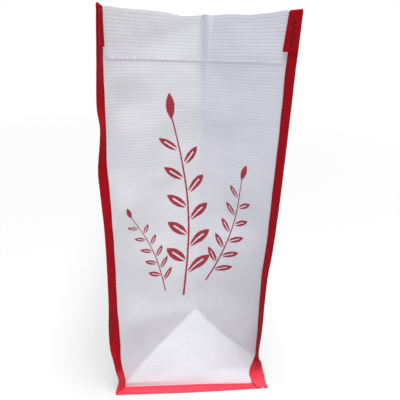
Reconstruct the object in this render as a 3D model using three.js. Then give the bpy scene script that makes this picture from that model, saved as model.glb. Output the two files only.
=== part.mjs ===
// A shopping bag of laminated woven raffia, standing open.
// +Z is up and the floor is z = 0. The side gussets close the ends at -Y (near) and +Y (far), the two big
// panels stand at -X (left) and +X (right), and one strip of cloth makes left panel, base and right panel.
// All sizes are in millimetres.
import * as THREE from "three";

// Driving dimensions
const HEIGHT = 457; // top edge of the cloth above the floor
const BODY_LENGTH = 400; // from foot seam to foot seam, along Y
const HEM_DEPTH = 43.5; // turned-in hem round the top
const APEX_HEIGHT = 104; // where the bottom fold triangle ends on the crease
const TAPE_THICKNESS = 2.4; // folded tape with the seam allowances inside it
const TAB_THICKNESS = 3.4; // the same where the tape's end is turned back over it
const TAB_LENGTH = 36; // turned-back tape end
const TAB_RISE = 2.5; // the turned-back end stands this far over the cloth's top edge
const OVER_FOOT_TAPE = 2.8; // the right upright tape of each end starts here, over the end of the foot tape

// The cloth as a solid
const CLOTH_THICKNESS = 1;
const HEM_EXTRA = 0.6; // the second layer of the hem, on the inside
const HEM_STEP = 0.4; // the hem's raw edge is a step this high
const SEAM_CLEARANCE = 2.5; // from the seam line to the edge of each cloth, where the tape's root lies
const FOLD_RADIUS = 3; // soft fold between panel and base
const FOOT_EDGE = 3.2; // height of the gusset's lower edge, over the folded foot tape
const STRIP_SHARE = 0.16; // height of the strip under the fold triangle, as a share of the apex's
const FOOT_SHIFT = -2; // the middle of the foot lies this far to the left of the apex
const TAPE_ROOT = 1.8; // the tape's root reaches this far inwards past its seam line
const ROOT_THICKNESS = 1; // and narrows to this between the two cloths
const PANEL_BULGE = 9; // how far the big panels belly out, halfway along and halfway up
const BULGE_AT_ENDS = 0.4; // share of it left at the floor and at the top edge
const BULGE_POWER = 1.4; // the belly runs out flat towards the seams
const MIDDLE_X = 2.95; // the middle of the whole bag, its uneven tapes included, in the tables' own X

// Colours, as three.js writes them
const RAFFIA_WHITE = 0xdcdde2;
const TAPE_RED = 0xb3142a;

// Upright seams. x is the seam's place across the bag, from the middle of the near gusset's foot, inward is
// how far it stands in from the foot seam, turn the tape's angle out of the gusset's plane in degrees, and
// width the folded tape's.
const NEAR_LEFT = [
  { z: 0, x: -86.0, inward: 0, turn: 55, width: 14.5 },
  { z: 4, x: -85.1, inward: 0, turn: 50, width: 14.5 },
  { z: 8, x: -84.3, inward: 0, turn: 42, width: 12.8 },
  { z: 15, x: -83.8, inward: 0, turn: 40, width: 11 },
  { z: 24, x: -85.3, inward: -0.1, turn: 56, width: 11 },
  { z: 36, x: -87.2, inward: -0.1, turn: 53, width: 11 },
  { z: 52, x: -88.5, inward: -0.2, turn: 38, width: 11 },
  { z: 80, x: -88.7, inward: -0.3, turn: 26, width: 11 },
  { z: 140, x: -87.7, inward: -0.6, turn: 27, width: 11 },
  { z: 230, x: -86.6, inward: -0.9, turn: 31, width: 11 },
  { z: 285, x: -86.7, inward: -1.2, turn: 27, width: 11 },
  { z: 335, x: -87.8, inward: -1.3, turn: 50, width: 11 },
  { z: 370, x: -88.1, inward: -1.4, turn: 63, width: 11 },
  { z: 410, x: -86.7, inward: -1.6, turn: 67, width: 11 },
  { z: 457, x: -84.0, inward: -1.8, turn: 68, width: 11 },
];
const NEAR_RIGHT = [
  { z: 0, x: 88.5, inward: -3.0, turn: 10, width: 16.4 },
  { z: 5, x: 85.4, inward: -0.5, turn: 8, width: 19.7 },
  { z: 10, x: 84.2, inward: 1.7, turn: 8, width: 20.8 },
  { z: 15, x: 83.8, inward: 3.6, turn: 8, width: 20.2 },
  { z: 20, x: 85.1, inward: 5.4, turn: 8, width: 17 },
  { z: 31, x: 88.9, inward: 8.2, turn: 30, width: 11.5 },
  { z: 45, x: 90.8, inward: 8.8, turn: 70, width: 11.6 },
  { z: 60, x: 90.6, inward: 7.2, turn: 85, width: 11 },
  { z: 80, x: 89.9, inward: 4.2, turn: 81, width: 11 },
  { z: 105, x: 88.9, inward: 0.6, turn: 79, width: 11 },
  { z: 130, x: 88.0, inward: -2.6, turn: 72, width: 11 },
  { z: 150, x: 87.3, inward: -4.9, turn: 68, width: 11 },
  { z: 180, x: 86.7, inward: -7.0, turn: 64, width: 11 },
  { z: 215, x: 86.3, inward: -8.4, turn: 60, width: 11 },
  { z: 275, x: 86.2, inward: -9.9, turn: 56, width: 11 },
  { z: 330, x: 86.2, inward: -10.2, turn: 54, width: 11 },
  { z: 385, x: 86.5, inward: -10.5, turn: 54, width: 11 },
  { z: 410, x: 86.1, inward: -10.6, turn: 50, width: 11 },
  { z: 430, x: 86.3, inward: -10.7, turn: 48, width: 11 },
  { z: 457, x: 86.4, inward: -10.8, turn: 46, width: 11 },
];
const FAR_LEFT = [
  { z: 0, x: -87.0, inward: 0, turn: 40, width: 12.5 },
  { z: 18, x: -86.2, inward: -0.8, turn: 42, width: 11 },
  { z: 60, x: -88.0, inward: -2.4, turn: 50, width: 11 },
  { z: 150, x: -87.5, inward: -5.2, turn: 58, width: 11 },
  { z: 300, x: -86.8, inward: -8.9, turn: 52, width: 11 },
  { z: 457, x: -85.0, inward: -9.9, turn: 57, width: 11 },
];
const FAR_RIGHT = [
  { z: 0, x: 86.6, inward: 0, turn: 38, width: 12.5 },
  { z: 18, x: 85.8, inward: -0.6, turn: 44, width: 11 },
  { z: 60, x: 87.6, inward: -2.2, turn: 46, width: 11 },
  { z: 150, x: 87.9, inward: -4.8, turn: 44, width: 11 },
  { z: 300, x: 87.2, inward: -7.0, turn: 49, width: 11 },
  { z: 457, x: 85.4, inward: -7.8, turn: 55, width: 11 },
];

// Valley crease of each gusset, from the top of the fold triangle to the top edge.
const NEAR_CREASE = [
  { z: 104, x: 9.5, inward: 29.5 },
  { z: 125, x: 7.8, inward: 30.4 },
  { z: 175, x: 7.8, inward: 32.4 },
  { z: 230, x: 8.4, inward: 37.2 },
  { z: 280, x: 9.3, inward: 40.2 },
  { z: 372, x: 9.9, inward: 41.2 },
  { z: 456, x: 9.1, inward: 42.2 },
];
const FAR_CREASE = [
  { z: 104, x: -4.0, inward: 31.0 },
  { z: 175, x: -5.2, inward: 35.0 },
  { z: 300, x: -4.4, inward: 39.0 },
  { z: 456, x: -3.0, inward: 37.0 },
];

// Each gusset: its two seams, its crease, and how high each diagonal fold starts on its seam.
const NEAR = {
  end: -1,
  left: NEAR_LEFT,
  right: NEAR_RIGHT,
  crease: NEAR_CREASE,
  foldLeft: 12,
  foldRight: 15,
};
const FAR = {
  end: 1,
  left: FAR_LEFT,
  right: FAR_RIGHT,
  crease: FAR_CREASE,
  foldLeft: 16,
  foldRight: 14,
};

// Grid steps of the solids
const GUSSET_COLUMNS = 6; // on each side of the crease
const TRIANGLE_ROWS = 6; // as many as the columns, so the diagonal fold runs through the grid's corners
const STRIP_STEPS = [0, 0.5]; // shares of the way up the strip under the triangle
const UPPER_ROWS = 10;
const PANEL_ROWS = 12;
const ARC_STEPS = 2;
const BASE_STEPS = 6;
const LENGTH_STEPS = 14;
const TAPE_ROWS = 30;
const CLOSER_BELOW = 1.5; // power that brings the panels' and tapes' rows closer together near the floor

const lerp = THREE.MathUtils.lerp;

// A table's row at height z, on smooth curves through its rows.
function rowAt(table, z) {
  const last = table.length - 1;
  let i = 0;
  while (i < last - 1 && table[i + 1].z < z) i += 1;
  const a = table[i];
  const b = table[i + 1];
  const before = table[Math.max(i - 1, 0)];
  const after = table[Math.min(i + 2, last)];
  const span = b.z - a.z;
  const t = THREE.MathUtils.clamp((z - a.z) / span, 0, 1);
  const row = { z };
  for (const key of Object.keys(a)) {
    if (key === "z") continue;
    const slopeA = ((b[key] - before[key]) / (b.z - before.z)) * span;
    const slopeB = ((after[key] - a[key]) / (after.z - a.z)) * span;
    const t2 = t * t;
    const t3 = t2 * t;
    const fromA = a[key] * (2 * t3 - 3 * t2 + 1) + slopeA * (t3 - 2 * t2 + t);
    const fromB = b[key] * (3 * t2 - 2 * t3) + slopeB * (t3 - t2);
    row[key] = fromA + fromB;
  }
  return row;
}

// The height of a row at a share of the way up from low to high.
function heightAt(low, high, share) {
  return lerp(low, high, Math.pow(share, CLOSER_BELOW));
}

// Y of a place that stands `inward` from the foot seam of a gusset.
function endY(gusset, inward) {
  return gusset.end * (BODY_LENGTH / 2 - inward);
}

function seamPoint(gusset, table, z) {
  const row = rowAt(table, z);
  return new THREE.Vector3(row.x, endY(gusset, row.inward), z);
}

function creasePoint(gusset, share) {
  const table = gusset.crease;
  const z = lerp(APEX_HEIGHT, table[table.length - 1].z, share);
  const row = rowAt(table, z);
  return new THREE.Vector3(row.x, endY(gusset, row.inward), z);
}

// The rows of a gusset, from the foot to the top edge. left and right are a row's heights on the two seams,
// rise is its place in the strip under the fold triangle, fold in the triangle and upper above it.
function gussetRows(gusset) {
  const rows = [];
  for (const rise of STRIP_STEPS) {
    const left = lerp(FOOT_EDGE, gusset.foldLeft, rise);
    const right = lerp(FOOT_EDGE, gusset.foldRight, rise);
    rows.push({ left, right, fold: 0, rise });
  }
  for (let i = 0; i <= TRIANGLE_ROWS; i += 1) {
    const fold = i / TRIANGLE_ROWS;
    const left = lerp(gusset.foldLeft, APEX_HEIGHT, fold);
    const right = lerp(gusset.foldRight, APEX_HEIGHT, fold);
    rows.push({ left, right, fold, rise: 1 });
  }
  const hemBottom = (HEIGHT - HEM_DEPTH - APEX_HEIGHT) / (HEIGHT - APEX_HEIGHT);
  const hemStep = HEM_STEP / (HEIGHT - APEX_HEIGHT);
  const shares = [];
  for (let i = 1; i <= UPPER_ROWS; i += 1) shares.push((hemBottom * i) / UPPER_ROWS);
  shares.push(hemBottom + hemStep, 1);
  for (const share of shares) {
    const z = lerp(APEX_HEIGHT, HEIGHT, share);
    rows.push({ left: z, right: z, fold: 1, rise: 1, upper: share, hem: share > hemBottom });
  }
  return rows;
}

// A point in the middle of a gusset's cloth. across runs from the left seam (-1) over the crease (0)
// to the right seam (1).
function gussetPoint(gusset, row, across) {
  const onLeft = across < 0;
  const table = onLeft ? gusset.left : gusset.right;
  const seam = seamPoint(gusset, table, onLeft ? row.left : row.right);
  const fromSeam = 1 - Math.abs(across);
  if (row.upper !== undefined) {
    return seam.lerp(creasePoint(gusset, row.upper), fromSeam);
  }
  const apex = creasePoint(gusset, 0);
  const foldStart = seamPoint(gusset, table, onLeft ? gusset.foldLeft : gusset.foldRight);
  const foot = new THREE.Vector3(apex.x + FOOT_SHIFT, endY(gusset, 0), FOOT_EDGE);
  const lowMiddle = foot.clone().lerp(apex, STRIP_SHARE);
  if (row.rise < 1) {
    return seam.lerp(foot.lerp(lowMiddle, row.rise), fromSeam);
  }
  const diagonal = foldStart.lerp(apex, row.fold);
  const middle = lowMiddle.lerp(apex, row.fold);
  if (fromSeam <= row.fold) {
    return seam.lerp(diagonal, row.fold === 0 ? 0 : fromSeam / row.fold);
  }
  return diagonal.lerp(middle, (fromSeam - row.fold) / (1 - row.fold));
}

// Moves the first and last points of a line along it, so that its ends keep a clearance to the seams.
function clearEnds(line, clearance) {
  const last = line.length - 1;
  const ends = [
    [line[0], line[1]],
    [line[last], line[last - 1]],
  ];
  for (const [end, next] of ends) {
    const way = next.clone().sub(end).normalize();
    end.addScaledVector(way, clearance);
  }
}

// Unit normals of a grid of points, from the directions of its rows and columns.
function gridNormals(grid) {
  const rows = grid.length;
  const columns = grid[0].length;
  return grid.map((line, i) =>
    line.map((_, j) => {
      const up = grid[Math.min(i + 1, rows - 1)][j].clone().sub(grid[Math.max(i - 1, 0)][j]);
      const along = line[Math.min(j + 1, columns - 1)].clone().sub(line[Math.max(j - 1, 0)]);
      return along.cross(up).normalize();
    }),
  );
}

// A closed solid between two grids of points, the outer one seen with its rows upwards from its front.
function solidBetween(outer, inner) {
  const rows = outer.length;
  const columns = outer[0].length;
  const places = [];
  for (const grid of [outer, inner]) {
    for (const line of grid) {
      for (const point of line) places.push(point.x, point.y, point.z);
    }
  }
  const front = (i, j) => i * columns + j;
  const back = (i, j) => rows * columns + front(i, j);
  const index = [];
  const quad = (a, b, c, d) => index.push(a, b, c, a, c, d);
  for (let i = 0; i < rows - 1; i += 1) {
    for (let j = 0; j < columns - 1; j += 1) {
      quad(front(i, j), front(i, j + 1), front(i + 1, j + 1), front(i + 1, j));
      quad(back(i, j), back(i + 1, j), back(i + 1, j + 1), back(i, j + 1));
    }
    quad(front(i, 0), front(i + 1, 0), back(i + 1, 0), back(i, 0));
    quad(front(i, columns - 1), back(i, columns - 1), back(i + 1, columns - 1), front(i + 1, columns - 1));
  }
  for (let j = 0; j < columns - 1; j += 1) {
    quad(front(0, j), back(0, j), back(0, j + 1), front(0, j + 1));
    quad(front(rows - 1, j), front(rows - 1, j + 1), back(rows - 1, j + 1), back(rows - 1, j));
  }
  const geometry = new THREE.BufferGeometry();
  geometry.setAttribute("position", new THREE.Float32BufferAttribute(places, 3));
  geometry.setIndex(index);
  geometry.computeVertexNormals();
  return geometry;
}

// The outer and inner faces of cloth round a grid of middle points. hems says which rows the hem doubles.
function clothFaces(grid, hems) {
  const normals = gridNormals(grid);
  const half = CLOTH_THICKNESS / 2;
  const moved = (line, i, way) => line.map((point, j) => point.clone().addScaledVector(normals[i][j], way));
  const outer = grid.map((line, i) => moved(line, i, half));
  const inner = grid.map((line, i) => moved(line, i, -half - (hems[i] ? HEM_EXTRA : 0)));
  return { outer, inner };
}

function gussetGeometry(gusset) {
  const rows = gussetRows(gusset);
  const grid = rows.map((row) => {
    const line = [];
    for (let j = -GUSSET_COLUMNS; j <= GUSSET_COLUMNS; j += 1) {
      line.push(gussetPoint(gusset, row, j / GUSSET_COLUMNS));
    }
    clearEnds(line, SEAM_CLEARANCE);
    return gusset.end < 0 ? line : line.reverse();
  });
  const hems = rows.map((row) => row.hem === true);
  const { outer, inner } = clothFaces(grid, hems);
  return solidBetween(outer, inner);
}

// How far a big panel bellies out at a share of the bag's length and at height z.
function bulge(share, z) {
  const along = Math.pow(Math.sin(Math.PI * share), BULGE_POWER);
  const up = lerp(BULGE_AT_ENDS, 1, Math.sin((Math.PI * z) / HEIGHT));
  return PANEL_BULGE * along * up;
}

// A point in the middle of the cloth of a big panel. side is -1 for left and 1 for right.
function panelPoint(side, share, z) {
  const near = seamPoint(NEAR, side < 0 ? NEAR.left : NEAR.right, z);
  const far = seamPoint(FAR, side < 0 ? FAR.left : FAR.right, z);
  near.y += SEAM_CLEARANCE;
  far.y -= SEAM_CLEARANCE;
  const point = near.lerp(far, share);
  point.x += side * bulge(share, z);
  return point;
}

// The lines of the body's strip, from the top of the left panel under the base to the top of the right one.
function bodyLines() {
  const hemBottom = HEIGHT - HEM_DEPTH;
  const heights = [HEIGHT, hemBottom + HEM_STEP];
  for (let i = PANEL_ROWS; i >= 0; i -= 1) heights.push(heightAt(FOLD_RADIUS, hemBottom, i / PANEL_ROWS));
  const left = heights.map((z) => ({ side: -1, z }));
  const right = heights.map((z) => ({ side: 1, z })).reverse();
  const arc = (side) => {
    const lines = [];
    for (let i = 1; i < ARC_STEPS; i += 1) lines.push({ side, angle: (Math.PI / 2) * (i / ARC_STEPS) });
    return side < 0 ? lines : lines.reverse();
  };
  const base = [];
  for (let i = 0; i <= BASE_STEPS; i += 1) base.push({ base: i / BASE_STEPS });
  return [...left, ...arc(-1), ...base, ...arc(1), ...right];
}

function bodyPoint(line, share) {
  if (line.z !== undefined) return panelPoint(line.side, share, line.z);
  const left = panelPoint(-1, share, FOLD_RADIUS);
  const right = panelPoint(1, share, FOLD_RADIUS);
  left.x += FOLD_RADIUS;
  right.x -= FOLD_RADIUS;
  const low = CLOTH_THICKNESS / 2;
  if (line.base !== undefined) {
    const point = left.lerp(right, line.base);
    point.z = low;
    return point;
  }
  const centre = line.side < 0 ? left : right;
  centre.x += line.side * FOLD_RADIUS * Math.cos(line.angle);
  centre.z = FOLD_RADIUS - (FOLD_RADIUS - low) * Math.sin(line.angle);
  return centre;
}

function bodyGeometry() {
  const lines = bodyLines();
  const grid = lines.map((line) => {
    const points = [];
    for (let i = 0; i <= LENGTH_STEPS; i += 1) points.push(bodyPoint(line, i / LENGTH_STEPS));
    return points;
  });
  const hems = lines.map((line) => line.z !== undefined && line.z > HEIGHT - HEM_DEPTH);
  const { outer, inner } = clothFaces(grid, hems);
  lines.forEach((line, i) => {
    if (line.base === undefined) return;
    for (const point of outer[i]) point.z = 0;
    for (const point of inner[i]) point.z = CLOTH_THICKNESS;
  });
  return solidBetween(outer, inner);
}

// A folded tape over an upright seam: a flat bar whose root follows the seam, with its tip standing out.
function uprightTapeGeometry(gusset, side, bottom) {
  const table = side < 0 ? gusset.left : gusset.right;
  const tabBottom = HEIGHT + TAB_RISE - TAB_LENGTH;
  const stations = [];
  for (let i = 0; i <= TAPE_ROWS; i += 1) {
    stations.push({ z: heightAt(bottom, tabBottom, i / TAPE_ROWS), thick: TAPE_THICKNESS });
  }
  stations.push({ z: tabBottom + HEM_STEP, thick: TAB_THICKNESS });
  stations.push({ z: HEIGHT + TAB_RISE, thick: TAB_THICKNESS });
  const front = [];
  const back = [];
  for (const { z, thick } of stations) {
    const row = rowAt(table, Math.min(z, HEIGHT));
    const turn = THREE.MathUtils.degToRad(row.turn);
    const out = new THREE.Vector3(side * Math.cos(turn), gusset.end * Math.sin(turn), 0);
    const face = new THREE.Vector3(out.y, -out.x, 0);
    const seam = new THREE.Vector3(row.x, endY(gusset, row.inward), z);
    const section = [
      { reach: -TAPE_ROOT, half: ROOT_THICKNESS / 2 },
      { reach: 0, half: thick / 2 },
      { reach: row.width, half: thick / 2 },
    ];
    const at = ({ reach, half }) => seam.clone().addScaledVector(out, reach).addScaledVector(face, half);
    front.push(section.map(at));
    back.push(section.map(({ reach, half }) => at({ reach, half: -half })));
  }
  return solidBetween(front, back);
}

// The tape along a foot seam, lying flat on the floor. outline is its plan for the near end.
const FOOT_OUTLINE = [
  { x: -83.6, out: 1.2 },
  { x: -90.0, out: 11.8 },
  { x: -60.0, out: 12.0 },
  { x: 0.0, out: 12.3 },
  { x: 60.0, out: 11.2 },
  { x: 91.5, out: 9.8 },
  { x: 86.4, out: 0.3 },
  { x: -82.0, out: 0.3 },
];

function footTapeGeometry(gusset) {
  const outline = FOOT_OUTLINE.map(({ x, out }) => new THREE.Vector2(x, endY(gusset, -out)));
  const plan = new THREE.Shape(outline);
  return new THREE.ExtrudeGeometry(plan, { depth: TAPE_THICKNESS, bevelEnabled: false });
}

function clothMaterial() {
  return new THREE.MeshStandardMaterial({ color: RAFFIA_WHITE, roughness: 0.55, metalness: 0 });
}

function tapeMaterial() {
  return new THREE.MeshStandardMaterial({ color: TAPE_RED, roughness: 0.7, metalness: 0 });
}

const bag = new THREE.Group();
bag.position.x = -MIDDLE_X;

function add(name, geometry, material) {
  const mesh = new THREE.Mesh(geometry, material);
  mesh.name = name;
  bag.add(mesh);
}

add("body", bodyGeometry(), clothMaterial());
for (const [name, gusset] of Object.entries({ near: NEAR, far: FAR })) {
  add(`gusset_${name}`, gussetGeometry(gusset), clothMaterial());
  add(`binding_${name}_left`, uprightTapeGeometry(gusset, -1, 0), tapeMaterial());
  add(`binding_${name}_right`, uprightTapeGeometry(gusset, 1, OVER_FOOT_TAPE), tapeMaterial());
  add(`binding_${name}_foot`, footTapeGeometry(gusset), tapeMaterial());
}

export default bag;
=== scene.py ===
"""Looks of a shopping bag of laminated woven raffia that stands open on the floor.

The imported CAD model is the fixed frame. Every piece of cloth and tape is made here again as a thin sheet on
the same seams, creases and folds, with its hem, its folded tape ends and its stitches.

Shapes are worked out in millimetres, in the frame's own axes: +Z is up, the near gusset faces -Y, and the big
panels stand at -X and +X. Meshes are in metres.
"""

import logging
import math
from collections.abc import Iterable, Sequence
from dataclasses import dataclass, field, fields
from enum import Enum
from functools import partial
from typing import Any

import bpy
import numpy as np
from mathutils import Matrix, Vector

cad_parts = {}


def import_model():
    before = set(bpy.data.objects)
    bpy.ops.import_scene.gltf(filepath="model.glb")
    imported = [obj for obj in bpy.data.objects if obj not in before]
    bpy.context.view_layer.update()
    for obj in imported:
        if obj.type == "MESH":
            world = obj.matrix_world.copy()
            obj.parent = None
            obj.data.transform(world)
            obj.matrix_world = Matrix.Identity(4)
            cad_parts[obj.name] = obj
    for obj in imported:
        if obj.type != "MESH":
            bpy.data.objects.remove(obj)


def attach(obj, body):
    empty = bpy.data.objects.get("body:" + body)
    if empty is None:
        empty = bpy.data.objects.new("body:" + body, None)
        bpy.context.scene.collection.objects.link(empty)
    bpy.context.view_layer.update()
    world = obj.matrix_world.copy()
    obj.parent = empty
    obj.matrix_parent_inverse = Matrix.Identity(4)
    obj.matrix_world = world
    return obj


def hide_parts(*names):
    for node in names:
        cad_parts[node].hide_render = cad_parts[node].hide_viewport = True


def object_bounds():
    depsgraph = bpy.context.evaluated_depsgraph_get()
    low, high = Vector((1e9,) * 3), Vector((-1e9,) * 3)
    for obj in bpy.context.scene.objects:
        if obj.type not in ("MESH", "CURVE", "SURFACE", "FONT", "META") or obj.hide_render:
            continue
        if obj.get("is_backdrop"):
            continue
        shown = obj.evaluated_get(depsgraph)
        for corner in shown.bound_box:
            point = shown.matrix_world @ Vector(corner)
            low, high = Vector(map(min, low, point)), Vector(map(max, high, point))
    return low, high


log = logging.getLogger("raffia_bag")

Array = np.ndarray
Node = bpy.types.Node
Socket = bpy.types.NodeSocket

MATHS = "ShaderNodeMath"
VECTOR_MATHS = "ShaderNodeVectorMath"
NOISE = "ShaderNodeTexNoise"

MM = 0.001  # metres in a millimetre
CLOTH_MAP = "cloth_mm"  # attribute: the place on the flat cloth in mm, and 1 on its outer face or -1 inside

# The bag, as its frame has it
HEIGHT = 457.0  # top edge of the cloth above the floor
BODY_LENGTH = 400.0  # from foot seam to foot seam
MIDDLE_X = 2.95  # the middle of the whole bag in the tables' own X
CLOTH_TOP = 458.7  # the soft top edge of the cloth itself
LIP_DEPTH = 25.0  # the top edge's own rise and fall reach this far down
LIP_TUCK = 1.1  # the cloth's corners lie this much lower, under the turned-back tapes
HEM_DEPTH = 43.5
APEX_HEIGHT = 104.0  # top of the bottom fold triangle
CREASE_TOP = 456.0
FOOT_EDGE = 3.2  # the gusset's lower edge, over the folded foot tape
FOOT_SHIFT = -2.0  # the middle of the foot lies this far to the left of the apex
FOLD_RADIUS = 3.0  # between panel and base
FOLD_ANGLES = (22.5, 45, 67.5)  # the rows round that fold
BASE_ROWS = 36
PANEL_BULGE = 9.0
BULGE_AT_ENDS = 0.4
BULGE_POWER = 1.4

# The cloth and its seams
CLOTH_HALF = 0.25  # half of the cloth's thickness
BASE_HEIGHT = CLOTH_HALF + 0.03  # the middle of the base's cloth, just clear of the floor
BASE_END_HEIGHT = CLOTH_HALF + 0.4  # and of its ends, inside the foot tapes
BASE_REACH = 0.8  # share of the allowance that lies in the foot tape
HEM_LAYER = 0.55  # the turned-in layer of the hem, on the inside
HEM_RIDGE = 0.3  # its edge shows through on the outside
HEM_SOFT = 0.3  # the ridge rises over this distance on either side of that edge
HEM_ROW = 2.0  # the hem's stitches run this far above its raw edge
HEM_GROOVE = 0.16  # and pull the cloth in this much
HEM_GROOVE_WIDTH = 0.8
ALLOWANCE = 8.0  # of cloth inside the binding, past the seam line
ALLOWANCE_REACHES = (1.0, 3.0, 5.5, ALLOWANCE)
ALLOWANCE_OFF = 0.35  # each cloth lies this far from the middle of the bound seam
SEAM_OFF_POWER = 12  # that distance fades quickly away from the seam
FOLD_SOFTNESS = 0.7  # rounding where two planes of the gusset meet
SOFT_SHARE = 0.1  # it grows to that over this share of the way from the seam
LEAST_SOFTNESS = 0.001  # on the seam itself
CREASE_SOFTNESS = 1.4
HALF_WIDTH = 95.0  # of a gusset's cloth, from the seam to the crease

# The binding tape
TAPE_WIDTH = 22.4  # flat, before it is folded over the seam
TAPE_HALF = 0.175
TAPE_OFF = 0.465  # from the middle of the cloth to the middle of the tape's ply on it
FLAP_SHARE = 0.035  # the tape heads for the gusset's cloth at this share of the way to the crease
TAPE_EDGE = 0.5  # the tape's edges lie this far outside the seam line
EDGE_WAVES = ((0.25, 17.0), (0.15, 6.1))  # heights of waves along those edges, and mm for each radian
TAPE_FOLD = 0.5  # radius of the fold along the tape's middle
TAPE_TURNS = (60, 30, 0, -30, -60)  # the columns round that fold, in degrees
TAPE_SHARES = (0, 0.045, 0.09, 0.15, 0.2, 0.245, 0.29, 0.4, 0.52, 0.65, 0.78, 0.9, 1)  # a ply's columns
PLAY = 0.05  # between one layer and the next
SEWN_AT = 2.0  # the stitches through the tape, from the seam line
SEWN_DENT = 0.2
SEWN_DENT_WIDTH = 0.7
TAB_LENGTH = 36.0
TAB_RISE = 3.3  # the turned-back end stands this far over the solids' top edge
TAB_GAP = 0.4  # between the middles of its two plies
LEAN_LIMIT = 1.3  # the slanted top drops by its slant times this at the most
TAB_INNER_EDGE = 2.5  # its hidden ply's edge, from the seam line
TAB_TACKS = (2.6, 7.4)  # the zigzag of stitches runs between these places
FOOT_TOP_PLY = 1.65
FOOT_LOW_PLY = 0.22
FOOT_TAPE_EDGE = 0.7  # the foot tape's upper edge lies this far out from the foot seam
FOOT_SEWN_AT = 3.0
FOOT_TURN = 2.75  # below this height the gusset turns outwards, into the foot tape
FOOT_TURN_RADIUS = 1.6
LEAST_SINE = 0.001  # keeps the ply's height finite where the turn starts
FOOT_ALLOWANCES = (2.0, 4.4, 7.0)  # places of the gusset's flat edge past that turn


class End(Enum):
    """The two narrow ends of the bag, by the sign of their Y."""

    NEAR = -1
    FAR = 1


class Side(Enum):
    """The two big panels and the seams on them, by the sign of their X."""

    LEFT = -1
    RIGHT = 1


class Stage(Enum):
    """Names of what stands round the bag and isn't part of it."""

    FLOOR = "floor"


@dataclass(frozen=True)
class SeamRow:
    """Where an upright seam runs at one height.

    x is its place across the bag, inward how far it stands in from the foot seam, turn the tape's angle out
    of the gusset's plane in degrees, and width the folded tape's.
    """

    z: float
    x: float
    inward: float
    turn: float
    width: float = 11.0


@dataclass(frozen=True)
class CreaseRow:
    """Where the valley crease of a gusset runs at one height."""

    z: float
    x: float
    inward: float


@dataclass(frozen=True)
class Dent:
    """A soft hollow in a gusset, or a swelling where its depth is negative.

    x and z are its middle, wide and tall its half widths before it is turned, turn is in degrees.
    """

    x: float
    z: float
    wide: float
    tall: float
    turn: float
    depth: float

    def at(self, x: Array, z: Array) -> Array:
        """Says how deep the cloth lies at a place.

        Args:
            x: Places across the bag.
            z: Heights.

        Returns:
            The depth there, in millimetres.
        """
        turn = math.radians(self.turn)
        across = (x - self.x) * math.cos(turn) + (z - self.z) * math.sin(turn)
        up = (z - self.z) * math.cos(turn) - (x - self.x) * math.sin(turn)
        return self.depth * np.exp(-((across / self.wide) ** 2) - (up / self.tall) ** 2)


@dataclass(frozen=True)
class Swell:
    """A soft rise of a gusset's top edge, or a sag where rise is negative; share runs from seam to crease."""

    share: float
    width: float
    rise: float


@dataclass(frozen=True)
class Ripples:
    """Random soft waves of limp cloth, the same ones each time."""

    height: float
    wavelength: float
    seed: int
    count: int = 12

    def at(self, u: Array, v: Array) -> Array:
        """Says how far the waves lift the cloth.

        Args:
            u: Places across the cloth.
            v: Places along it.

        Returns:
            The lift, in millimetres.
        """
        dice = np.random.default_rng(self.seed)
        total = np.zeros(np.broadcast(u, v).shape)
        for _ in range(self.count):
            angle = dice.uniform(0, math.tau)
            number = math.tau / (self.wavelength * dice.uniform(0.7, 1.6))
            phase = dice.uniform(0, math.tau)
            total += np.sin(number * (u * math.cos(angle) + v * math.sin(angle)) + phase)
        return self.height * total / math.sqrt(self.count)


class SmoothTable:
    """Smooth curves through the rows of a table, read by height."""

    def __init__(self, rows: Sequence[SeamRow | CreaseRow]) -> None:
        """Takes the table's columns.

        Args:
            rows: Rows of one kind, from the lowest up.
        """
        self.columns = {f.name: np.array([getattr(row, f.name) for row in rows]) for f in fields(rows[0])}

    def at(self, name: str, z: Array | float) -> Array:
        """Reads a column.

        Args:
            name: The column.
            z: Heights.

        Returns:
            The column's values at those heights.
        """
        heights = self.columns["z"]
        values = self.columns[name]
        last = len(heights) - 1
        i = np.clip(np.searchsorted(heights, z) - 1, 0, last - 1)
        before = np.maximum(i - 1, 0)
        after = np.minimum(i + 2, last)
        span = heights[i + 1] - heights[i]
        t = np.clip((z - heights[i]) / span, 0, 1)
        slope_low = (values[i + 1] - values[before]) / (heights[i + 1] - heights[before]) * span
        slope_high = (values[after] - values[i]) / (heights[after] - heights[i]) * span
        low = values[i] * (2 * t**3 - 3 * t**2 + 1) + slope_low * (t**3 - 2 * t**2 + t)
        return low + values[i + 1] * (3 * t**2 - 2 * t**3) + slope_high * (t**3 - t**2)


def blend(a: Any, b: Any, share: Any) -> Any:
    """Goes from a to b as share goes from 0 to 1."""
    return a + (b - a) * share


def ramp(low: Any, high: Any, value: Any) -> Any:
    """Rises smoothly from 0 at low to 1 at high."""
    t = np.clip((value - low) / (high - low), 0, 1)
    return t * t * (3 - 2 * t)


def soft_min(a: Array, b: Array, softness: float) -> Array:
    """Gives the lower of two surfaces, rounded where they meet."""
    share = np.clip(0.5 + 0.5 * (b - a) / softness, 0, 1)
    return blend(b, a, share) - softness * share * (1 - share)


def place(x: Any, y: Any, z: Any) -> Array:
    """Puts coordinates together into points, whatever their shapes."""
    return np.stack(np.broadcast_arrays(x, y, z), axis=-1).astype(float)


def unit(ways: Array) -> Array:
    """Scales directions to length 1."""
    return ways / np.linalg.norm(ways, axis=-1, keepdims=True)


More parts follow.
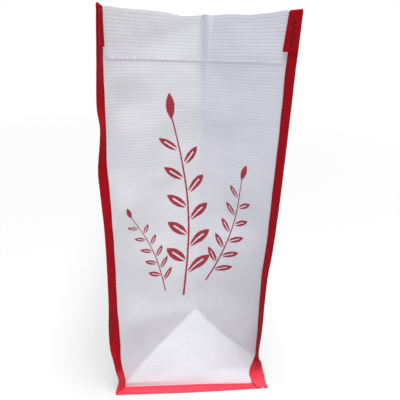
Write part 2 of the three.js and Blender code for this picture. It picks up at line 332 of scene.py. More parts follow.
@dataclass(frozen=True)
class GussetForm:
    """The folded shape of one side gusset, with the two seams that hold it."""

    end: End
    seams: dict[Side, SmoothTable]
    crease: SmoothTable
    fold_starts: dict[Side, float]
    dents: tuple[Dent, ...]
    ripples: tuple[Ripples, ...]
    swells: dict[Side, tuple[Swell, ...]]
    calm_share: float = 0.14  # the waves grow from the seam over this share of the way to the crease
    calm_top: float = 22.0  # and from the foot up to this height
    tuck_share: float = 0.06  # the cloth is tucked under the turned-back tape over this share

    def seam_point(self, side: Side, z: Array | float) -> Array:
        """Gives the place of an upright seam.

        Args:
            side: Which of the two seams.
            z: Heights.

        Returns:
            Points on the seam line.
        """
        table = self.seams[side]
        y = self.end.value * (BODY_LENGTH / 2 - table.at("inward", z))
        return place(table.at("x", z) - MIDDLE_X, y, z)

    def out(self, side: Side, z: Array | float) -> Array:
        """Gives the direction in which the bound seam stands out."""
        turn = np.radians(self.seams[side].at("turn", z))
        return place(side.value * np.cos(turn), self.end.value * np.sin(turn), 0)

    def face(self, side: Side, z: Array | float) -> Array:
        """Gives the direction out of the bound seam's face on the gusset's side."""
        turn = np.radians(self.seams[side].at("turn", z))
        return place(-side.value * np.sin(turn), self.end.value * np.cos(turn), 0)

    def inward(self, side: Side, share: Array, z: Array) -> Array:
        """Works out how far the folded gusset stands in from the foot seam.

        Args:
            side: Which half of the gusset.
            share: From 0 on the seam to 1 on the crease.
            z: Heights.

        Returns:
            The distance, in millimetres.
        """
        away = 1 - share
        seam = self.seams[side].at("inward", z)
        crease = self.crease.at("inward", np.maximum(z, APEX_HEIGHT))
        rounding = CREASE_SOFTNESS / HALF_WIDTH
        from_crease = np.sqrt(away**2 + rounding**2) - rounding
        valley = blend(crease, seam, from_crease)
        apex = float(self.crease.at("inward", APEX_HEIGHT))
        climb = apex / (APEX_HEIGHT - FOOT_EDGE)
        below = np.minimum(z, self.fold_starts[side])
        at_seam = self.seams[side].at("inward", below) - climb * (below - FOOT_EDGE)
        triangle = climb * (z - FOOT_EDGE) + at_seam * away
        softness = FOLD_SOFTNESS * ramp(0.0, SOFT_SHARE, share) + LEAST_SOFTNESS
        return soft_min(valley, triangle, softness)

    def half(self, side: Side, share: Array, z: Array) -> Array:
        """Gives points in the middle of the cloth of one half of the gusset.

        Args:
            side: Which half.
            share: From 0 on the seam to 1 on the crease.
            z: Heights on the seam.

        Returns:
            Points, in millimetres.
        """
        seam_x = self.seams[side].at("x", z)
        apex_x = float(self.crease.at("x", APEX_HEIGHT))
        below = blend(apex_x + FOOT_SHIFT, apex_x, np.clip((z - FOOT_EDGE) / (APEX_HEIGHT - FOOT_EDGE), 0, 1))
        crease_x = np.where(z < APEX_HEIGHT, below, self.crease.at("x", np.maximum(z, APEX_HEIGHT)))
        x = blend(seam_x, crease_x, share)
        drop = (HEIGHT - CREASE_TOP) * np.clip((z - APEX_HEIGHT) / (HEIGHT - APEX_HEIGHT), 0, 1)
        inward = self.inward(side, share, z)
        calm = ramp(0.0, self.calm_share, share) * ramp(FOOT_EDGE, self.calm_top, z)
        waves = sum(dent.at(x, z) for dent in self.dents) + sum(r.at(x, z) for r in self.ripples)
        y = self.end.value * (BODY_LENGTH / 2 - inward - calm * waves)
        lip = ramp(HEIGHT - LIP_DEPTH, CLOTH_TOP, z)
        lifted = sum(w.rise * np.exp(-(((share - w.share) / w.width) ** 2)) for w in self.swells[side])
        tucked = LIP_TUCK * (1 - ramp(0.0, self.tuck_share, share))
        middle = place(x - MIDDLE_X, y, z - drop * share + lip * (lifted - tucked))
        at_seam = np.clip(1 - share, 0, 1) ** SEAM_OFF_POWER
        return middle + self.face(side, z) * (ALLOWANCE_OFF * at_seam)[..., None]


@dataclass(frozen=True)
class SheetGrid:
    """The middle of a sheet as a grid of points, with its thickness on either side and its flat places."""

    middle: Array
    outer: Array
    inner: Array
    flat: Array


def grid_ways(grid: Array) -> tuple[Array, Array]:
    """Finds a grid's directions and outward normals.

    Args:
        grid: Points, rows by columns.

    Returns:
        The unit directions along its rows' order, and its unit normals.
    """
    up = np.gradient(grid, axis=0)
    along = np.gradient(grid, axis=1)
    return unit(up), unit(np.cross(along, up))


def sheet_mesh(name: str, sheet: SheetGrid, rounded: bool) -> bpy.types.Mesh:
    """Makes a closed mesh of a sheet with real thickness.

    Args:
        name: The mesh's name.
        sheet: Its middle, thicknesses and flat places.
        rounded: Whether its first and last rows end in a soft fold and not in a cut edge.

    Returns:
        The mesh, in metres.
    """
    up, normal = grid_ways(sheet.middle)
    outer = sheet.middle + normal * sheet.outer[..., None]
    inner = sheet.middle - normal * sheet.inner[..., None]
    rows, columns = sheet.middle.shape[:2]
    angles = (math.pi / 4, math.pi / 2, 3 * math.pi / 4) if rounded else ()

    def rim(row: int, sign: int, order: Iterable[float]) -> list[Array]:
        """Rounds the first or last row off, from one face to the other.

        Args:
            row: The row's number.
            sign: 1 for the last row and -1 for the first.
            order: Angles from one face to the other, in radians.

        Returns:
            The points of each step round the edge.
        """
        centre = (outer[row] + inner[row]) / 2
        half = (sheet.outer[row] + sheet.inner[row])[:, None] / 2
        return [centre + half * (normal[row] * math.cos(a) + sign * up[row] * math.sin(a)) for a in order]

    top = rim(rows - 1, 1, angles)
    bottom = rim(0, -1, reversed(angles))
    loops = np.stack([*outer, *top, *inner[::-1], *bottom])
    count = len(loops)
    flat_top = sheet.flat[-1:].repeat(len(top), 0)
    flat_bottom = sheet.flat[:1].repeat(len(bottom), 0)
    flat = np.concatenate([sheet.flat, flat_top, sheet.flat[::-1], flat_bottom])
    faces = np.where(np.arange(count) < rows + len(top), 1.0, -1.0)
    vertices = loops.transpose(1, 0, 2).reshape(-1, 3)
    places = np.concatenate([flat, np.broadcast_to(faces[:, None, None], (count, columns, 1))], axis=2)

    j, k = np.meshgrid(np.arange(columns - 1), np.arange(count), indexing="ij")
    here = j * count
    k_next = (k + 1) % count
    quads = np.stack([here + k, here + count + k, here + count + k_next, here + k_next], axis=-1)
    polygons: list[tuple[int, ...]] = [tuple(q) for q in quads.reshape(-1, 4).tolist()]
    behind = rows + len(top)
    for column, turn in ((0, 1), (columns - 1, -1)):
        base = column * count
        for i in range(rows - 1):
            cap = (base + i, base + i + 1, base + behind + rows - 2 - i, base + behind + rows - 1 - i)
            polygons.append(cap[::turn])
        if rounded:
            polygons.append(tuple(base + i for i in range(rows - 1, behind + 1))[::turn])
            polygons.append(tuple(base + i % count for i in range(behind + rows - 1, count + 1))[::turn])
    mesh = bpy.data.meshes.new(name)
    mesh.from_pydata((vertices * MM).tolist(), [], polygons)
    attribute = mesh.attributes.new(CLOTH_MAP, "FLOAT_VECTOR", "POINT")
    attribute.data.foreach_set("vector", places.transpose(1, 0, 2).astype(np.float32).ravel())
    if signed_volume(mesh) < 0:
        mesh.flip_normals()
    mesh.shade_smooth()
    mesh.set_sharp_from_angle(angle=math.radians(50))
    mesh.validate()
    return mesh


def signed_volume(mesh: bpy.types.Mesh) -> float:
    """Works out a closed mesh's volume.

    Args:
        mesh: The mesh.

    Returns:
        The volume, which is negative where its faces point inwards.
    """
    mesh.calc_loop_triangles()
    points = np.zeros(len(mesh.vertices) * 3)
    mesh.vertices.foreach_get("co", points)
    corners = np.zeros(len(mesh.loop_triangles) * 3, np.int32)
    mesh.loop_triangles.foreach_get("vertices", corners)
    a, b, c = points.reshape(-1, 3)[corners.reshape(-1, 3)].transpose(1, 0, 2)
    return float(np.einsum("ij,ij->i", a, np.cross(b, c)).sum() / 6)


def add_object(name: str, mesh: bpy.types.Mesh, material: bpy.types.Material) -> bpy.types.Object:
    """Puts a mesh into the scene with its finish.

    Args:
        name: The object's name.
        mesh: Its mesh, already in place.
        material: Its finish.

    Returns:
        The new object.
    """
    mesh.materials.clear()
    mesh.materials.append(material)
    piece = bpy.data.objects.new(name, mesh)
    bpy.context.scene.collection.objects.link(piece)
    return piece


def fitted(piece: bpy.types.Object, slot: str, *nodes: str) -> bpy.types.Object:
    """Fixes a piece to the bag's one body.

    Args:
        piece: The finished piece.
        slot: Not used.
        nodes: CAD nodes that it stands for.

    Returns:
        The piece.
    """
    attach(piece, "root")
    if nodes:
        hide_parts(*nodes)
    log.info("%s: %d faces", piece.name, len(piece.data.polygons))
    return piece


def lengths_across(grid: Array) -> Array:
    """Measures a grid's rows from their first point on."""
    steps = np.linalg.norm(np.diff(grid, axis=1), axis=2)
    return np.concatenate([np.zeros((len(grid), 1)), np.cumsum(steps, axis=1)], axis=1)


def lengths_along(points: Array) -> Array:
    """Measures a line of points from its first point on."""
    return np.concatenate([[0], np.cumsum(np.linalg.norm(np.diff(points, axis=0), axis=1))])


def flat_places(u: Array, v: Array) -> Array:
    """Puts a grid's places across and along the flat cloth together."""
    return np.stack([u, np.broadcast_to(v, u.shape)], axis=2)


def add_node(
    tree: bpy.types.NodeTree, kind: str, inputs: dict[str | int, Any] | Sequence[Any] = (), **settings: Any
) -> Node:
    """Adds a node to a tree, with its settings and links.

    Args:
        tree: The node tree.
        kind: The node's type.
        inputs: In the sockets' order, or by socket name or number: a value, a node whose first output is
            linked, or an output socket.
        **settings: Properties of the node by name.

    Returns:
        The new node.
    """
    node = tree.nodes.new(kind)
    for name, value in settings.items():
        setattr(node, name, value)
    given = inputs if isinstance(inputs, dict) else dict(enumerate(inputs))
    for socket, value in given.items():
        if isinstance(value, bpy.types.Node):
            value = value.outputs[0]
        if isinstance(value, bpy.types.NodeSocket):
            tree.links.new(value, node.inputs[socket])
        else:
            node.inputs[socket].default_value = value
    return node


def blank_material(name: str) -> bpy.types.Material:
    """Makes a material whose node tree is empty.

    Args:
        name: The material's name.

    Returns:
        The material.
    """
    material = bpy.data.materials.new(name)
    material.use_nodes = True
    material.node_tree.nodes.clear()
    return material


def linear(colour: str) -> tuple[float, float, float, float]:
    """Turns an sRGB hex colour into Blender's linear one.

    Args:
        colour: Such as "#ffffff".

    Returns:
        Red, green, blue and alpha.
    """
    channels = [int(colour[i : i + 2], 16) / 255 for i in (1, 3, 5)]
    red, green, blue = (c / 12.92 if c <= 0.04045 else ((c + 0.055) / 1.055) ** 2.4 for c in channels)
    return red, green, blue, 1.0


@dataclass(frozen=True)
class Sprig:
    """One printed branch: where it starts on the cloth, its lean in degrees, and its size."""

    u: float
    v: float
    lean: float
    size: float


@dataclass(frozen=True)
class LeafPrint:
    """Flexographic print of leafy branches in one ink.

    Flexo ink on film has flat colour with slightly uneven edges, and the weave's grooves show through it.
    """

    sprigs: tuple[Sprig, ...]
    length: float = 150.0
    pitch: float = 23.0
    leaf_length: float = 27.0
    leaf_half: float = 4.6
    leaf_angle: float = 48.0
    stem_half: float = 1.1
    vein_half: float = 0.5
    bend: float = 9.0
    narrowing: float = 0.42  # share by which the last leaves and the stem's end are smaller
    leaf_start: float = 0.6  # a leaf starts this share of its half width further up
    leaf_shape: float = 0.8  # power that rounds a leaf's outline
    vein_end: float = 0.7  # share of the leaf along which its vein runs
    vein_fade: float = 30.0
    gap_at_top: float = 0.4  # share of the pitch without side leaves below the last leaf
    end_drop: float = 4.0
    end_length: float = 0.7  # the last leaf's length against the others'
    end_width: float = 2.9  # and four times its width against theirs

    def group(self) -> bpy.types.NodeTree:
        """Makes the node group that draws one branch, growing up from its own origin.

        Returns:
            The group, with the input Place in mm and the output Inside, in mm from the print's edge.
        """
        tree = bpy.data.node_groups.new("leaf_branch", "ShaderNodeTree")
        tree.interface.new_socket("Place", in_out="INPUT", socket_type="NodeSocketVector")
        tree.interface.new_socket("Inside", in_out="OUTPUT", socket_type="NodeSocketFloat")
        add = partial(add_node, tree)
        source = add("NodeGroupInput")
        split = add("ShaderNodeSeparateXYZ", [source])
        up = split.outputs["Y"]
        share = add(MATHS, [up, self.length], operation="DIVIDE", use_clamp=True)
        swing = add(MATHS, [share, math.pi], operation="MULTIPLY")
        sine = add(MATHS, [swing], operation="SINE")
        bent = add(MATHS, [sine, self.bend], operation="MULTIPLY")
        across = add(MATHS, [split.outputs["X"], bent], operation="SUBTRACT")
        away = add(MATHS, [across], operation="ABSOLUTE")
        side = add(MATHS, [across], operation="SIGN")
        small = add(MATHS, [share, -self.narrowing], operation="MULTIPLY")
        taper = add(MATHS, [small, 1.0], operation="ADD")
        # Leaves stand in turn on the left and on the right.
        turn = add(MATHS, [side, self.pitch / 4], operation="MULTIPLY")
        shifted = add(MATHS, [up, turn], operation="ADD")
        step = add(MATHS, [shifted, self.pitch, 0.0], operation="WRAP")
        angle = math.radians(self.leaf_angle)
        rise = add(MATHS, [step, self.leaf_half * self.leaf_start], operation="SUBTRACT")
        reach = add(MATHS, [away, self.stem_half], operation="SUBTRACT")
        out_part = add(MATHS, [reach, math.sin(angle)], operation="MULTIPLY")
        along = add(MATHS, [rise, math.cos(angle), out_part], operation="MULTIPLY_ADD")
        cross_part = add(MATHS, [rise, -math.sin(angle)], operation="MULTIPLY")
        off = add(MATHS, [reach, math.cos(angle), cross_part], operation="MULTIPLY_ADD")
        off_abs = add(MATHS, [off], operation="ABSOLUTE")
        leaf_span = add(MATHS, [taper, self.leaf_length], operation="MULTIPLY")
        place_in = add(MATHS, [along, leaf_span], operation="DIVIDE", use_clamp=True)
        rest = add(MATHS, [1.0, place_in], operation="SUBTRACT")
        lens = add(MATHS, [place_in, rest], operation="MULTIPLY")
        full = add(MATHS, [lens, self.leaf_shape], operation="POWER")
        half = add(MATHS, [full, self.leaf_half / 0.25**self.leaf_shape], operation="MULTIPLY")
        wide = add(MATHS, [half, taper], operation="MULTIPLY")
        leaf = add(MATHS, [wide, off_abs], operation="SUBTRACT")
        # A vein is left bare along each leaf, short of its tip.
        vein = add(MATHS, [off_abs, self.vein_half], operation="SUBTRACT")
        vein_stop = -self.vein_fade * self.vein_end
        tip = add(MATHS, [place_in, self.vein_fade, vein_stop], operation="MULTIPLY_ADD")
        bare = add(MATHS, [vein, tip], operation="MAXIMUM")
        veined = add(MATHS, [leaf, bare], operation="MINIMUM")
        last_leaf = self.length - self.pitch * self.gap_at_top
        last = add(MATHS, [last_leaf, shifted], operation="SUBTRACT")
        first = add(MATHS, [shifted, self.pitch], operation="SUBTRACT")
        kept = add(MATHS, [last, first], operation="MINIMUM")
        leaves = add(MATHS, [veined, kept], operation="MINIMUM")
        stem_wide = add(MATHS, [taper, self.stem_half], operation="MULTIPLY")
        stem_in = add(MATHS, [stem_wide, away], operation="SUBTRACT")
        stem_top = add(MATHS, [self.length, up], operation="SUBTRACT")
        stem_cut = add(MATHS, [stem_in, stem_top], operation="MINIMUM")
        stem = add(MATHS, [stem_cut, up], operation="MINIMUM")
        # The last leaf stands straight on the branch's end.
        end_up = add(MATHS, [up, self.length - self.end_drop], operation="SUBTRACT")
        end_leaf_length = self.leaf_length * self.end_length
        end_in = add(MATHS, [end_up, end_leaf_length], operation="DIVIDE", use_clamp=True)
        end_rest = add(MATHS, [1.0, end_in], operation="SUBTRACT")
        end_lens = add(MATHS, [end_in, end_rest], operation="MULTIPLY")
        end_half = add(MATHS, [end_lens, self.leaf_half * self.end_width], operation="MULTIPLY")
        straight = add(MATHS, [split.outputs["X"]], operation="ABSOLUTE")
        end_leaf = add(MATHS, [end_half, straight], operation="SUBTRACT")
        most = add(MATHS, [leaves, stem], operation="MAXIMUM")
        inside = add(MATHS, [most, end_leaf], operation="MAXIMUM")
        add("NodeGroupOutput", [inside])
        return tree

    def mask(self, tree: bpy.types.NodeTree, cloth: Socket, outer: Socket) -> Node:
        """Adds the nodes that say where the ink is.

        Args:
            tree: The material's node tree.
            cloth: The place on the flat cloth, in mm.
            outer: 1 on the cloth's outer face and -1 inside.

        Returns:
            A node whose output is 1 in the print and 0 beside it.
        """
        add = partial(add_node, tree)
        group = self.group()
        ragged = add(NOISE, {"Vector": cloth, "Scale": 0.55, "Detail": 3.0})
        total: Node | None = None
        for sprig in self.sprigs:
            mapped = add(
                "ShaderNodeMapping",
                {
                    "Vector": cloth,
                    "Location": (sprig.u, sprig.v, 0.0),
                    "Rotation": (0.0, 0.0, math.radians(sprig.lean)),
                    "Scale": (sprig.size, sprig.size, 1.0),
                },
                vector_type="TEXTURE",
            )
            branch = add("ShaderNodeGroup", {"Place": mapped}, node_tree=group)
            if total is None:
                total = branch
            else:
                total = add(MATHS, [total, branch], operation="MAXIMUM")
        rough = add(MATHS, [ragged.outputs["Fac"], 0.9, -0.45], operation="MULTIPLY_ADD")
        edge = add(MATHS, [total, rough], operation="ADD")
        crisp = add(MATHS, [edge, 4.0], operation="MULTIPLY", use_clamp=True)
        return add(MATHS, [crisp, outer], operation="MULTIPLY", use_clamp=True)


@dataclass(frozen=True)
class RaffiaCloth:
    """Woven polypropylene raffia: flat tapes slit from white film, woven plain and coated with clear film.

    The coating gives a satin gloss over soft ribs, and the tapes' own whiteness varies a little from one to
    the next.
    """

    name: str
    colour: str = "#e4e5ea"
    groove: str = "#c9cad2"
    ink: str = "#9e0a2a"
    tape_pitch: float = 25.4 / 8
    relief: float = 0.16
    roughness: float = 0.46
    print: LeafPrint | None = None
    arch_power: float = 0.45  # makes a tape's arch flat-topped
    warp_share: float = 0.4  # of the relief
    streak_run: float = 0.012  # changes of whiteness along a tape, for each millimetre
    cloud_scale: float = 0.018
    grain: float = 0.22
    streak_contrast: float = 0.35
    streak_start: float = -0.1
    cloud_contrast: float = 0.3
    groove_contrast: float = 0.8
    ink_groove: float = 0.08
    gloss_change: float = 0.14

    def build(self) -> bpy.types.Material:
        """Makes the material.

        Returns:
            The material, which reads the cloth's flat places.
        """
        material = blank_material(self.name)
        add = partial(add_node, material.node_tree)
        source = add("ShaderNodeAttribute", attribute_name=CLOTH_MAP)
        cloth = source.outputs["Vector"]
        split = add("ShaderNodeSeparateXYZ", [cloth])
        cell_u = add(MATHS, [split.outputs["X"], self.tape_pitch], operation="DIVIDE")
        cell_v = add(MATHS, [split.outputs["Y"], self.tape_pitch], operation="DIVIDE")
        number_u = add(MATHS, [cell_u], operation="FLOOR")
        number_v = add(MATHS, [cell_v], operation="FLOOR")
        both = add(MATHS, [number_u, number_v], operation="ADD")
        over = add(MATHS, [both, 2.0, 0.0], operation="WRAP")
        # Each tape is a low arch across its width. The weft lies proud of the warp, so its ribs show most.
        arches = []
        for cell in (cell_u, cell_v):
            part = add(MATHS, [cell], operation="FRACT")
            turned = add(MATHS, [part, math.pi], operation="MULTIPLY")
            sine = add(MATHS, [turned], operation="SINE")
            arches.append(add(MATHS, [sine, self.arch_power], operation="POWER"))
        warp, weft = arches
        crossed = add("ShaderNodeMix", {"Factor": over, "A": weft, "B": warp}, data_type="FLOAT")
        low = add(MATHS, [crossed, self.warp_share], operation="MULTIPLY")
        height = add(MATHS, [weft, 1 - self.warp_share, low], operation="MULTIPLY_ADD")
        # Every weft tape has its own whiteness along its run.
        streak_size = (self.streak_run, 1 / self.tape_pitch, 0.0)
        streak_place = add(VECTOR_MATHS, [cloth, streak_size], operation="MULTIPLY")
        streaks = add(NOISE, {"Vector": streak_place, "Scale": 1.0, "Detail": 2.0, "Roughness": 0.6})
        cloudy = {"Vector": cloth, "Scale": self.cloud_scale, "Detail": 3.0}
        clouds = add(NOISE, cloudy)
        streaked = [streaks.outputs["Fac"], self.streak_contrast, self.streak_start]
        tone = add(MATHS, streaked, operation="MULTIPLY_ADD")
        haze = add(MATHS, [clouds.outputs["Fac"], self.cloud_contrast, tone], operation="MULTIPLY_ADD")
        hollow = add(MATHS, [1.0, height], operation="SUBTRACT")
        dark = add(MATHS, [hollow, self.groove_contrast, haze], operation="MULTIPLY_ADD", use_clamp=True)
        white = add(
            "ShaderNodeMix",
            {"Factor": dark, 6: linear(self.colour), 7: linear(self.groove)},
            data_type="RGBA",
        )
        colour = white.outputs[2]
        if self.print is not None:
            inked = self.print.mask(material.node_tree, cloth, split.outputs["Z"])
            grooved = add(MATHS, [height, self.ink_groove, 1 - self.ink_groove], operation="MULTIPLY_ADD")
            cover = add(MATHS, [inked, grooved], operation="MULTIPLY")
            printed = add(
                "ShaderNodeMix", {"Factor": cover, 6: colour, 7: linear(self.ink)}, data_type="RGBA"
            )
            colour = printed.outputs[2]
        grain = add(NOISE, {"Vector": cloth, "Scale": 1.3, "Detail": 4.0})
        uneven = add(MATHS, [grain.outputs["Fac"], self.grain, height], operation="MULTIPLY_ADD")
        bump = add("ShaderNodeBump", {"Strength": 0.55, "Distance": self.relief * MM, "Height": uneven})
        least_rough = self.roughness - self.gloss_change / 2
        gloss = add(MATHS, [clouds.outputs["Fac"], self.gloss_change, least_rough], operation="MULTIPLY_ADD")
        shader = add(
            "ShaderNodeBsdfPrincipled",
            {
                "Base Color": colour,
                "Roughness": gloss,
                "IOR": 1.49,
                "Specular IOR Level": 0.45,
                "Normal": bump,
            },
        )
        add("ShaderNodeOutputMaterial", {"Surface": shader})
        return material


@dataclass(frozen=True)
class BindingTape:
    """Polypropylene binding tape: a narrow close-woven ribbon, dyed red in the mass.

    Its fine twill grain scatters the light, so that it looks matt face on and paler at a flat angle. Below a
    set height its red fades to a paler, pinker one: painted light and highlight of the lamp above, near the
    floor.
    """

    name: str
    colour: str = "#b00016"
    shade: str = "#960010"
    # painted light: the paler red near the floor, full below the first height and gone above the second
    scuffed: str = "#d83646"
    scuffed_below: float = 20.0
    clean_above: float = 42.0
    thread_pitch: float = 0.9
    twill_angle: float = 35.0
    cross_share: float = 0.35  # the crossing threads' relief against the others'
    relief: float = 0.1
    roughness: float = 0.62

    def build(self) -> bpy.types.Material:
        """Makes the material.

        Returns:
            The material, which reads the tape's flat places.
        """
        material = blank_material(self.name)
        add = partial(add_node, material.node_tree)
        source = add("ShaderNodeAttribute", attribute_name=CLOTH_MAP)
        cloth = source.outputs["Vector"]
        twill_turn = (0.0, 0.0, math.radians(self.twill_angle))
        twill = {"Vector": cloth, "Rotation": twill_turn, "Scale": (1.0, 1.0, 0.0)}
        turned = add("ShaderNodeMapping", twill, vector_type="POINT")
        split = add("ShaderNodeSeparateXYZ", [turned])
        waves = []
        for axis in ("X", "Y"):
            number = add(MATHS, [split.outputs[axis], math.tau / self.thread_pitch], operation="MULTIPLY")
            waves.append(add(MATHS, [number], operation="SINE"))
        grain = add(MATHS, [waves[1], self.cross_share, waves[0]], operation="MULTIPLY_ADD")
        fibres = add(NOISE, {"Vector": cloth, "Scale": 0.9, "Detail": 4.0, "Roughness": 0.65})
        wear = add(NOISE, {"Vector": cloth, "Scale": 0.06, "Detail": 3.0})
        speck = add(MATHS, [fibres.outputs["Fac"], 0.9, -0.3], operation="MULTIPLY_ADD")
        cloudy = add(MATHS, [wear.outputs["Fac"], 0.5, speck], operation="MULTIPLY_ADD", use_clamp=True)
        colour = add(
            "ShaderNodeMix",
            {"Factor": cloudy, 6: linear(self.colour), 7: linear(self.shade)},
            data_type="RGBA",
        )
        # Painted light and highlight: the red turns paler and pinker towards the floor, by height alone.
        lying = add("ShaderNodeTexCoord")
        height = add("ShaderNodeSeparateXYZ", [lying.outputs["Object"]])
        painted_light_share = add(
            "ShaderNodeMapRange",
            {
                "Value": height.outputs["Z"],
                "From Min": self.scuffed_below * MM,
                "From Max": self.clean_above * MM,
                "To Min": 1.0,
                "To Max": 0.0,
            },
            interpolation_type="SMOOTHSTEP",
        )
        painted_light_mix = add(
            "ShaderNodeMix",
            {"Factor": painted_light_share, 6: colour.outputs[2], 7: linear(self.scuffed)},
            data_type="RGBA",
        )
        rough_height = add(MATHS, [fibres.outputs["Fac"], 1.5, grain], operation="MULTIPLY_ADD")
        bump = add("ShaderNodeBump", {"Strength": 0.5, "Distance": self.relief * MM, "Height": rough_height})
        shader = add(
            "ShaderNodeBsdfPrincipled",
            {
                "Base Color": painted_light_mix.outputs[2],
                "Roughness": self.roughness,
                "IOR": 1.49,
                "Specular IOR Level": 0.12,
                "Normal": bump,
            },
        )
        add("ShaderNodeOutputMaterial", {"Surface": shader})
        return material


@dataclass(frozen=True)
class SewingThread:
    """Spun polyester sewing thread: two plies twisted together, softly shiny over the twist."""

    name: str
    colour: str
    twist_pitch: float = 0.8
    roughness: float = 0.5

    def build(self) -> bpy.types.Material:
        """Makes the material.

        Returns:
            The material, which reads Object coordinates.
        """
        material = blank_material(self.name)
        add = partial(add_node, material.node_tree)
        source = add("ShaderNodeTexCoord")
        twist = add(
            "ShaderNodeTexWave",
            {
                "Vector": source.outputs["Object"],
                "Scale": 1 / (self.twist_pitch * MM * 20),
                "Distortion": 1.0,
                "Detail": 1.0,
            },
            wave_type="BANDS", bands_direction="DIAGONAL",
        )
        # Painted shade: the twist's bands darken the thread's colour in the grooves between its plies.
        shade = add(
            "ShaderNodeMix",
            {"Factor": 0.25, 6: linear(self.colour), 7: twist.outputs["Color"]},
            data_type="RGBA", blend_type="MULTIPLY",
        )
        bump = add("ShaderNodeBump", {"Strength": 0.4, "Distance": 0.05 * MM, "Height": twist.outputs["Fac"]})
        shader = add(
            "ShaderNodeBsdfPrincipled",
            {
                "Base Color": shade.outputs[2],
                "Roughness": self.roughness,
                "Specular IOR Level": 0.2,
                "Normal": bump,
            },
        )
        add("ShaderNodeOutputMaterial", {"Surface": shader})
        return material


@dataclass(frozen=True)
class StagePaint:
    """Opal acrylic of a studio table, lit from below where the light from above falls off."""

    name: str = "stage_opal"
    colour: str = "#868686"
    glow: float = 1.05
    glow_below: float = 0.5
    lamp_height: float = 3.4

    def build(self) -> bpy.types.Material:
        """Makes the material.

        Returns:
            The material, which reads Object coordinates.
        """
        material = blank_material(self.name)
        add = partial(add_node, material.node_tree)
        source = add("ShaderNodeTexCoord")
        away = add(VECTOR_MATHS, [source.outputs["Object"]], operation="LENGTH")
        share = add(MATHS, [away.outputs["Value"], self.lamp_height], operation="DIVIDE")
        square = add(MATHS, [share, share, 1.0], operation="MULTIPLY_ADD")
        fall = add(MATHS, [square, -2.0], operation="POWER")
        glow = add(MATHS, [fall, self.glow_below - self.glow, self.glow], operation="MULTIPLY_ADD")
        shader = add(
            "ShaderNodeBsdfPrincipled",
            {
                "Base Color": linear(self.colour),
                "Roughness": 0.9,
                "Specular IOR Level": 0.1,
                "Emission Color": linear("#ffffff"),
                "Emission Strength": glow,
            },
        )
        add("ShaderNodeOutputMaterial", {"Surface": shader})
        return material


